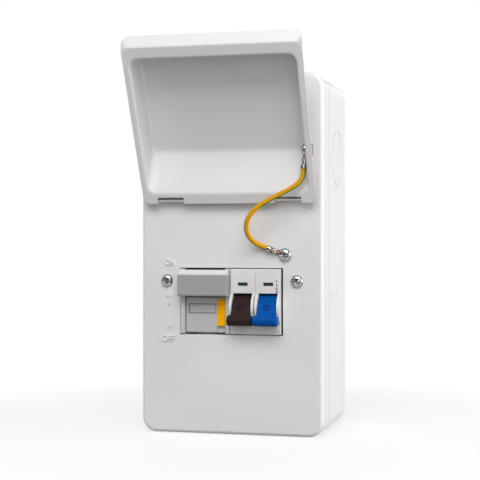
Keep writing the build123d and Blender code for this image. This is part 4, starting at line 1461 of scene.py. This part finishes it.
    def build(self) -> None:
        """Make wire, terminals and their screws."""
        self.build_wire()
        ends = ((self.lid_end, self.lid_axes()), (self.cover_end, self.cover_axes()))
        for end, axes in ends:
            self.build_terminal(end, axes)
        for end, axes in ends:
            top = axes.to_frame(np.array([0.0, 0.0, self.sheet]))
            seat = Axes(tuple(top), axes.right, axes.out)
            place_screws(
                end.name + "_screw", [seat], self.shank, end.body, end.screw_node, end.screw_turn_deg)


@dataclass(frozen=True)
class PaddleMark:
    """The raised mark on one toggle's paddle."""

    name: str
    body: Body
    x: float
    power: float
    finish: Finish
    slot: str


@dataclass
class SwitchMarks:
    """Ink marks beside the neutral toggle and a raised mark on each toggle's paddle."""

    face: float = -89.5
    ink_x: float = 32.3
    ink_rise: float = 0.05
    ink_soft: float = 0.04
    bar_z: float = -17.9
    bar: Tuple[Pair, ...] = ((-0.28, -0.8), (0.28, -0.8), (0.28, 0.8), (-0.28, 0.8))
    bar_eye: Pair = (0.0, 0.0)
    wedge_z: Pair = (-20.4, -22.6)
    wedge: Tuple[Pair, ...] = ((-0.75, -0.7), (0.75, -0.7), (0.0, 0.8))
    wedge_eye: Pair = (0.0, -0.1)
    nought_z: float = -25.0
    nought_half: Pair = (0.56, 0.80)
    nought_line: float = 0.46
    nought_power: float = 2.0
    paddle: Pair = (-94.45, -35.55)
    paddle_out: Point = (0.0, -0.80, 0.60)
    paddle_half: Pair = (1.55, 1.7)
    paddle_line: float = 0.55
    paddle_rise: float = 0.22
    paddle_marks: Tuple[PaddleMark, ...] = (
        PaddleMark("live_mark", Body.LIVE_TOGGLE, 8.5, 2.0, PALETTE.brown_mark, "live_brown"),
        PaddleMark("neutral_mark", Body.NEUTRAL_TOGGLE, 26.3, 5.0, PALETTE.blue_mark, "neutral_blue"))

    def seat(self, height: float) -> Axes:
        """Place of one ink mark on the case's face."""
        return Axes((self.ink_x, self.face, height))

    def build(self) -> None:
        """Make the ink marks and the two paddle marks."""
        ink = Piece("switch_ink")
        ink.stamp(self.seat(self.bar_z), np.array(self.bar), self.bar_eye, self.ink_rise, self.ink_soft)
        for height in self.wedge_z:
            ink.stamp(self.seat(height), np.array(self.wedge), self.wedge_eye, self.ink_rise, self.ink_soft)
        nought = self.seat(self.nought_z)
        ink.hoop(nought, self.nought_half, self.nought_line, self.ink_rise, self.nought_power)
        ink.make(PALETTE.ink, Body.ENCLOSURE)
        for mark in self.paddle_marks:
            piece = Piece(mark.name)
            seat = Axes((mark.x, *self.paddle), out=self.paddle_out)
            piece.hoop(seat, self.paddle_half, self.paddle_line, self.paddle_rise, mark.power)
            piece.make(mark.finish, mark.body)


@dataclass
class CoverMarks:
    """Embossed words and arrows on the cover, and the cover's own screws.

    A word has its middle x, its middle z and its width; an arrow its middle z and 1 for up or -1 for down.
    """

    rise: float = 0.85
    soft: float = 0.42
    sink: float = 0.02
    words: Tuple[Tuple[str, str, Point], ...] = (
        ("mark_on", "ON", (-43.7, -5.4, 7.0)), ("mark_off", "OFF", (-44.8, -58.1, 9.7)))
    word_height: float = 5.0
    word_bevel: float = 0.055
    word_bevel_steps: int = 3
    word_steps: int = 6
    word_smooth_deg: float = 60.0
    arrows: Tuple[Tuple[str, float, float], ...] = (("mark_up", -30.2, 1.0), ("mark_down", -46.6, -1.0))
    arrow_x: float = -44.0
    arrow_outline: Tuple[Pair, ...] = (
        (-0.75, -5.0), (0.75, -5.0), (0.75, 1.0), (2.2, 1.0), (0.0, 5.0), (-2.2, 1.0), (-0.75, 1.0))
    arrow_eye: Pair = (0.0, 1.7)
    arrow_smooth_deg: float = 50.0
    screw_x: float = 45.9
    screw_z: float = -18.0
    screw_shank: float = 9.0
    screw_turn_deg: float = 24.0

    def word(self, name: str, text: str, where: Point) -> None:
        """Emboss one word.

        Args:
            name: name of the piece.
            text: letters.
            where: middle x, middle z and width.
        """
        curve = bpy.data.curves.new(name, "FONT")
        curve.body = text
        curve.bevel_depth = self.word_bevel
        curve.bevel_resolution = self.word_bevel_steps
        curve.resolution_u = self.word_steps
        writer = linked(name + "_text", curve)
        mesh = shaped_mesh(writer)
        points = mesh_points(mesh)
        bpy.data.objects.remove(writer)
        low, high = points.min(axis=0), points.max(axis=0)
        unit = (points - (low + high) / 2) / (high - low)
        middle_x, middle_z, width = where
        placed = np.stack([
            middle_x + unit[:, 0] * width, COVER_FACE - (unit[:, 2] * 2.0) * self.rise + self.sink,
            middle_z + unit[:, 1] * self.word_height], axis=-1)
        piece = Piece(name)
        piece.patch(placed, np.empty((0, 4), dtype=int))
        piece.polygons([face.vertices for face in mesh.polygons])
        piece.make(PALETTE.powder, Body.ENCLOSURE, smooth_deg=self.word_smooth_deg)

    def arrow(self, name: str, middle_z: float, way: float) -> None:
        """Emboss one arrow.

        Args:
            name: name of the piece.
            middle_z: middle height.
            way: 1 for up, -1 for down.
        """
        seat = Axes((self.arrow_x, COVER_FACE + self.sink, middle_z), (way, 0.0, 0.0))
        piece = Piece(name)
        piece.stamp(seat, np.array(self.arrow_outline), self.arrow_eye, self.rise, self.soft)
        piece.make(PALETTE.powder, Body.ENCLOSURE, smooth_deg=self.arrow_smooth_deg)

    def build(self) -> None:
        """Make words, arrows and screws."""
        for name, text, where in self.words:
            self.word(name, text, where)
        for name, middle_z, way in self.arrows:
            self.arrow(name, middle_z, way)
        seats = [Axes((x, COVER_FACE, self.screw_z)) for x in (-self.screw_x, self.screw_x)]
        place_screws(
            "cover_fixing_screws", seats, self.screw_shank, Body.ENCLOSURE, "cover_screws",
            self.screw_turn_deg)


@dataclass
class Cabinet:
    """The CAD nodes that keep their shape, with the finish of each."""

    finishes: Tuple[Tuple[Finish, Tuple[str, ...]], ...] = (
        (PALETTE.jointed, ("back_box", "front_cover")),
        (PALETTE.zinc, ("rail_bracket", "din_rail")),
        (PALETTE.screw, (
            "rail_screws", "lid_earth_nut", "cover_earth_nut", "switch_terminal_screws", "toggle_shaft",
            "holder_terminal_screws", "carrier_pins")),
        (PALETTE.hinge, (
            "cover_hinge_leaf_left", "cover_hinge_leaf_right", "hinge_pin_left", "hinge_pin_right")),
        (PALETTE.case, ("switch_case",)),
        (PALETTE.brown, ("live_toggle",)),
        (PALETTE.blue, ("neutral_toggle",)),
        (PALETTE.flag, ("status_flag",)),
        (PALETTE.holder, ("holder_base",)),
        (PALETTE.tinned, ("holder_jaw_upper", "holder_jaw_lower")),
        (PALETTE.carrier, ("fuse_carrier",)),
        (PALETTE.yellow, ("lock_slider",)),
        (PALETTE.ceramic, ("fuse_body",)),
        (PALETTE.cap, ("fuse_cap_top", "fuse_cap_bottom")),
        (PALETTE.dark, ("switch_rail_clip", "holder_rail_clip")),
        (PALETTE.link, ("link_bar",)),
        (PALETTE.brass, ("earth_block", "earth_block_screws")))

    def dress(self, nodes: Dict[str, bpy.types.Object]) -> None:
        """Give each node its material.

        Args:
            nodes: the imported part's objects by name.
        """
        for finish, names in self.finishes:
            for name in names:
                materials = nodes[name].data.materials
                materials.clear()
                materials.append(finish.material())
                LOG.info("%s: %s", name, finish.name)


@dataclass(frozen=True)
class SoftBox:
    """A rectangular lamp: place and size in metres, power in watts."""

    name: str
    place: Point
    size: Pair
    power: float


@dataclass(frozen=True)
class DarkCard:
    """A dark card for reflections, in metres; with no direction for its back it faces the object."""

    name: str
    place: Point
    size: Pair
    back: Optional[Point] = None


def flat_sheet(
    name: str, middle: np.ndarray, across: np.ndarray, up: np.ndarray, paint: bpy.types.Material,
) -> bpy.types.Object:
    """Make one painted rectangle.

    Args:
        name: name of the object.
        middle: its middle, in metres.
        across: from the middle to its right edge.
        up: from the middle to its top edge.
        paint: its material.

    Returns:
        The object.
    """
    mesh = bpy.data.meshes.new(name)
    around = [middle - across - up, middle + across - up, middle + across + up, middle - across + up]
    mesh.from_pydata(around, [], [(0, 1, 2, 3)])
    mesh.materials.append(paint)
    return linked(name, mesh)


def facing(away: np.ndarray) -> Point:
    """Turn that makes a lamp or camera look against a direction."""
    flat = math.hypot(away[0], away[1])
    return math.atan2(flat, away[2]), 0.0, math.atan2(away[1], away[0]) + QUARTER_TURN


@dataclass
class Studio:
    """White floor, soft lamps, dark cards and the camera; lamps, cards and floor are in metres."""

    aim: Point = (6.3, -88.0, 10.0)
    azimuth_deg: float = 14.5
    distance: float = 870.0
    lens: float = 95.6
    sensor: float = 36.0
    nearest: float = 0.01
    fill: float = 0.15
    white: Colour = (1.0, 1.0, 1.0)
    floor_level: float = -0.1235
    floor_half: float = 6.0
    floor_middle_y: float = -0.05
    floor_fade: Pair = (0.02, 0.10)
    floor_glow: Pair = (0.70, 0.30)
    paper: Colour = (0.85, 0.85, 0.85)
    dim_paper: Colour = (0.30, 0.30, 0.30)
    cloth: Colour = (0.03, 0.03, 0.03)
    lamp_target: Point = (0.0, -0.06, 0.0)
    lamps: Tuple[SoftBox, ...] = (
        SoftBox("top_box", (0.17, -1.22, 1.16), (1.4, 0.8), 20.5),
        SoftBox("front_box", (0.45, -1.65, 0.45), (0.9, 0.9), 5.8),
        SoftBox("right_box", (1.50, -0.06, 0.10), (0.9, 1.0), 25.0),
        SoftBox("left_box", (-1.50, -0.20, 0.45), (0.8, 1.0), 5.0),
        SoftBox("back_box", (-0.30, 1.50, 0.70), (1.2, 0.8), 9.0))
    cards: Tuple[DarkCard, ...] = (
        DarkCard("front_flag", (0.10, -1.80, 0.55), (2.6, 1.4)),
        DarkCard("left_flag", (-1.15, -0.75, 0.28), (0.9, 0.8)),
        DarkCard("high_flag", (-0.10, -0.30, 1.30), (1.4, 0.6)),
        DarkCard("low_flag", (-0.15, -0.62, -0.115), (1.2, 0.5), (0.0, 0.0, -1.0)),
        DarkCard("rear_flag", (0.10, 1.10, 0.88), (2.4, 1.1)))

    def surround(self) -> None:
        """Plain white to the camera and in reflections, a dimmer fill on everything else."""
        world = bpy.data.worlds.new("studio")
        bpy.context.scene.world = world
        world.use_nodes = True
        graph = Graph(world.node_tree)
        strength = self.fill + graph.seen() * (1.0 - self.fill)
        light = graph.node("ShaderNodeBackground", None, {"Color": self.white, "Strength": strength})
        graph.node("ShaderNodeOutputWorld", None, {"Surface": light["Background"]})

    def lay_floor(self) -> None:
        """Large white floor that keeps a soft shadow near the object and goes to white further off."""
        paint, graph = blank_material("studio_floor_paint")
        x, y, _ = graph.axes(graph.place())
        behind = y - self.floor_middle_y
        far = (x * x + behind * behind).ease(*self.floor_fade)
        seen = graph.seen()
        tone = graph.blend(seen, self.dim_paper, self.paper)
        matt = graph.node("ShaderNodeBsdfDiffuse", None, {"Color": tone})["BSDF"]
        glow = graph.node("ShaderNodeEmission", None, {"Color": self.white, "Strength": 1.0})["Emission"]
        near_glow, far_glow = self.floor_glow
        mixed = graph.node("ShaderNodeMixShader", None, {
            0: seen * (near_glow + far * far_glow), 1: matt, 2: glow})["Shader"]
        graph.node("ShaderNodeOutputMaterial", None, {"Surface": mixed})
        middle = np.array([0.0, 0.0, self.floor_level])
        across, up = self.floor_half * np.eye(3)[:2]
        floor = flat_sheet("studio_floor", middle, across, up, paint)

    def hang_lamp(self, box: SoftBox) -> None:
        """Hang one soft box.

        Args:
            box: the lamp.
        """
        data = bpy.data.lights.new(box.name, "AREA")
        data.shape = "RECTANGLE"
        data.size, data.size_y = box.size
        data.energy = box.power
        lamp = linked(box.name, data)
        lamp.location = box.place
        lamp.rotation_euler = facing(np.array(box.place) - np.array(self.lamp_target))

    def hang_card(self, plan: DarkCard) -> None:
        """Hang one dark card that only shows in reflections, to give bright metal its dark bands.

        Args:
            plan: the card.
        """
        middle = np.array(plan.place)
        faces_object = plan.back is None
        away = middle / np.linalg.norm(middle) if faces_object else np.array(plan.back)
        across = np.cross(away, [0.0, 0.0, 1.0] if faces_object else [0.0, 1.0, 0.0])
        across *= plan.size[0] / 2 / np.linalg.norm(across)
        up = np.cross(across, away) * plan.size[1] / plan.size[0]
        paint, graph = blank_material(plan.name + "_cloth")
        cloth = graph.node("ShaderNodeBsdfDiffuse", None, {"Color": self.cloth})["BSDF"]
        graph.node("ShaderNodeOutputMaterial", None, {"Surface": cloth})
        card = flat_sheet(plan.name, middle, across, up, paint)
        card.visible_camera = False
        card.visible_diffuse = False
        card.visible_shadow = False

    def set_camera(self) -> None:
        """Put the camera where the photograph was taken from."""
        data = bpy.data.cameras.new("photo_camera")
        data.lens = self.lens
        data.sensor_width = self.sensor
        data.clip_start = self.nearest
        turn = math.radians(self.azimuth_deg)
        away = np.array([math.sin(turn), -math.cos(turn), 0.0])
        camera = linked("photo_camera", data)
        camera.location = (np.array(self.aim) + self.distance * away) * MM
        camera.rotation_euler = facing(away)
        bpy.context.scene.camera = camera

    def build(self) -> None:
        """Set up the whole studio."""
        bpy.context.scene.view_settings.view_transform = "Standard"
        self.surround()
        self.lay_floor()
        for box in self.lamps:
            self.hang_lamp(box)
        for plan in self.cards:
            self.hang_card(plan)
        self.set_camera()


def main() -> None:
    """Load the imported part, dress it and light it."""
    logging.basicConfig(level=logging.INFO, format="%(name)s %(message)s")
    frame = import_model()
    Cabinet().dress(frame["nodes"])
    CoverMarks().build()
    SwitchMarks().build()
    LidPressing().build()
    LidHinges().build()
    BondingLead().build()
    Studio().build()
    bpy.context.view_layer.update()


if __name__ == "__main__":
    main()
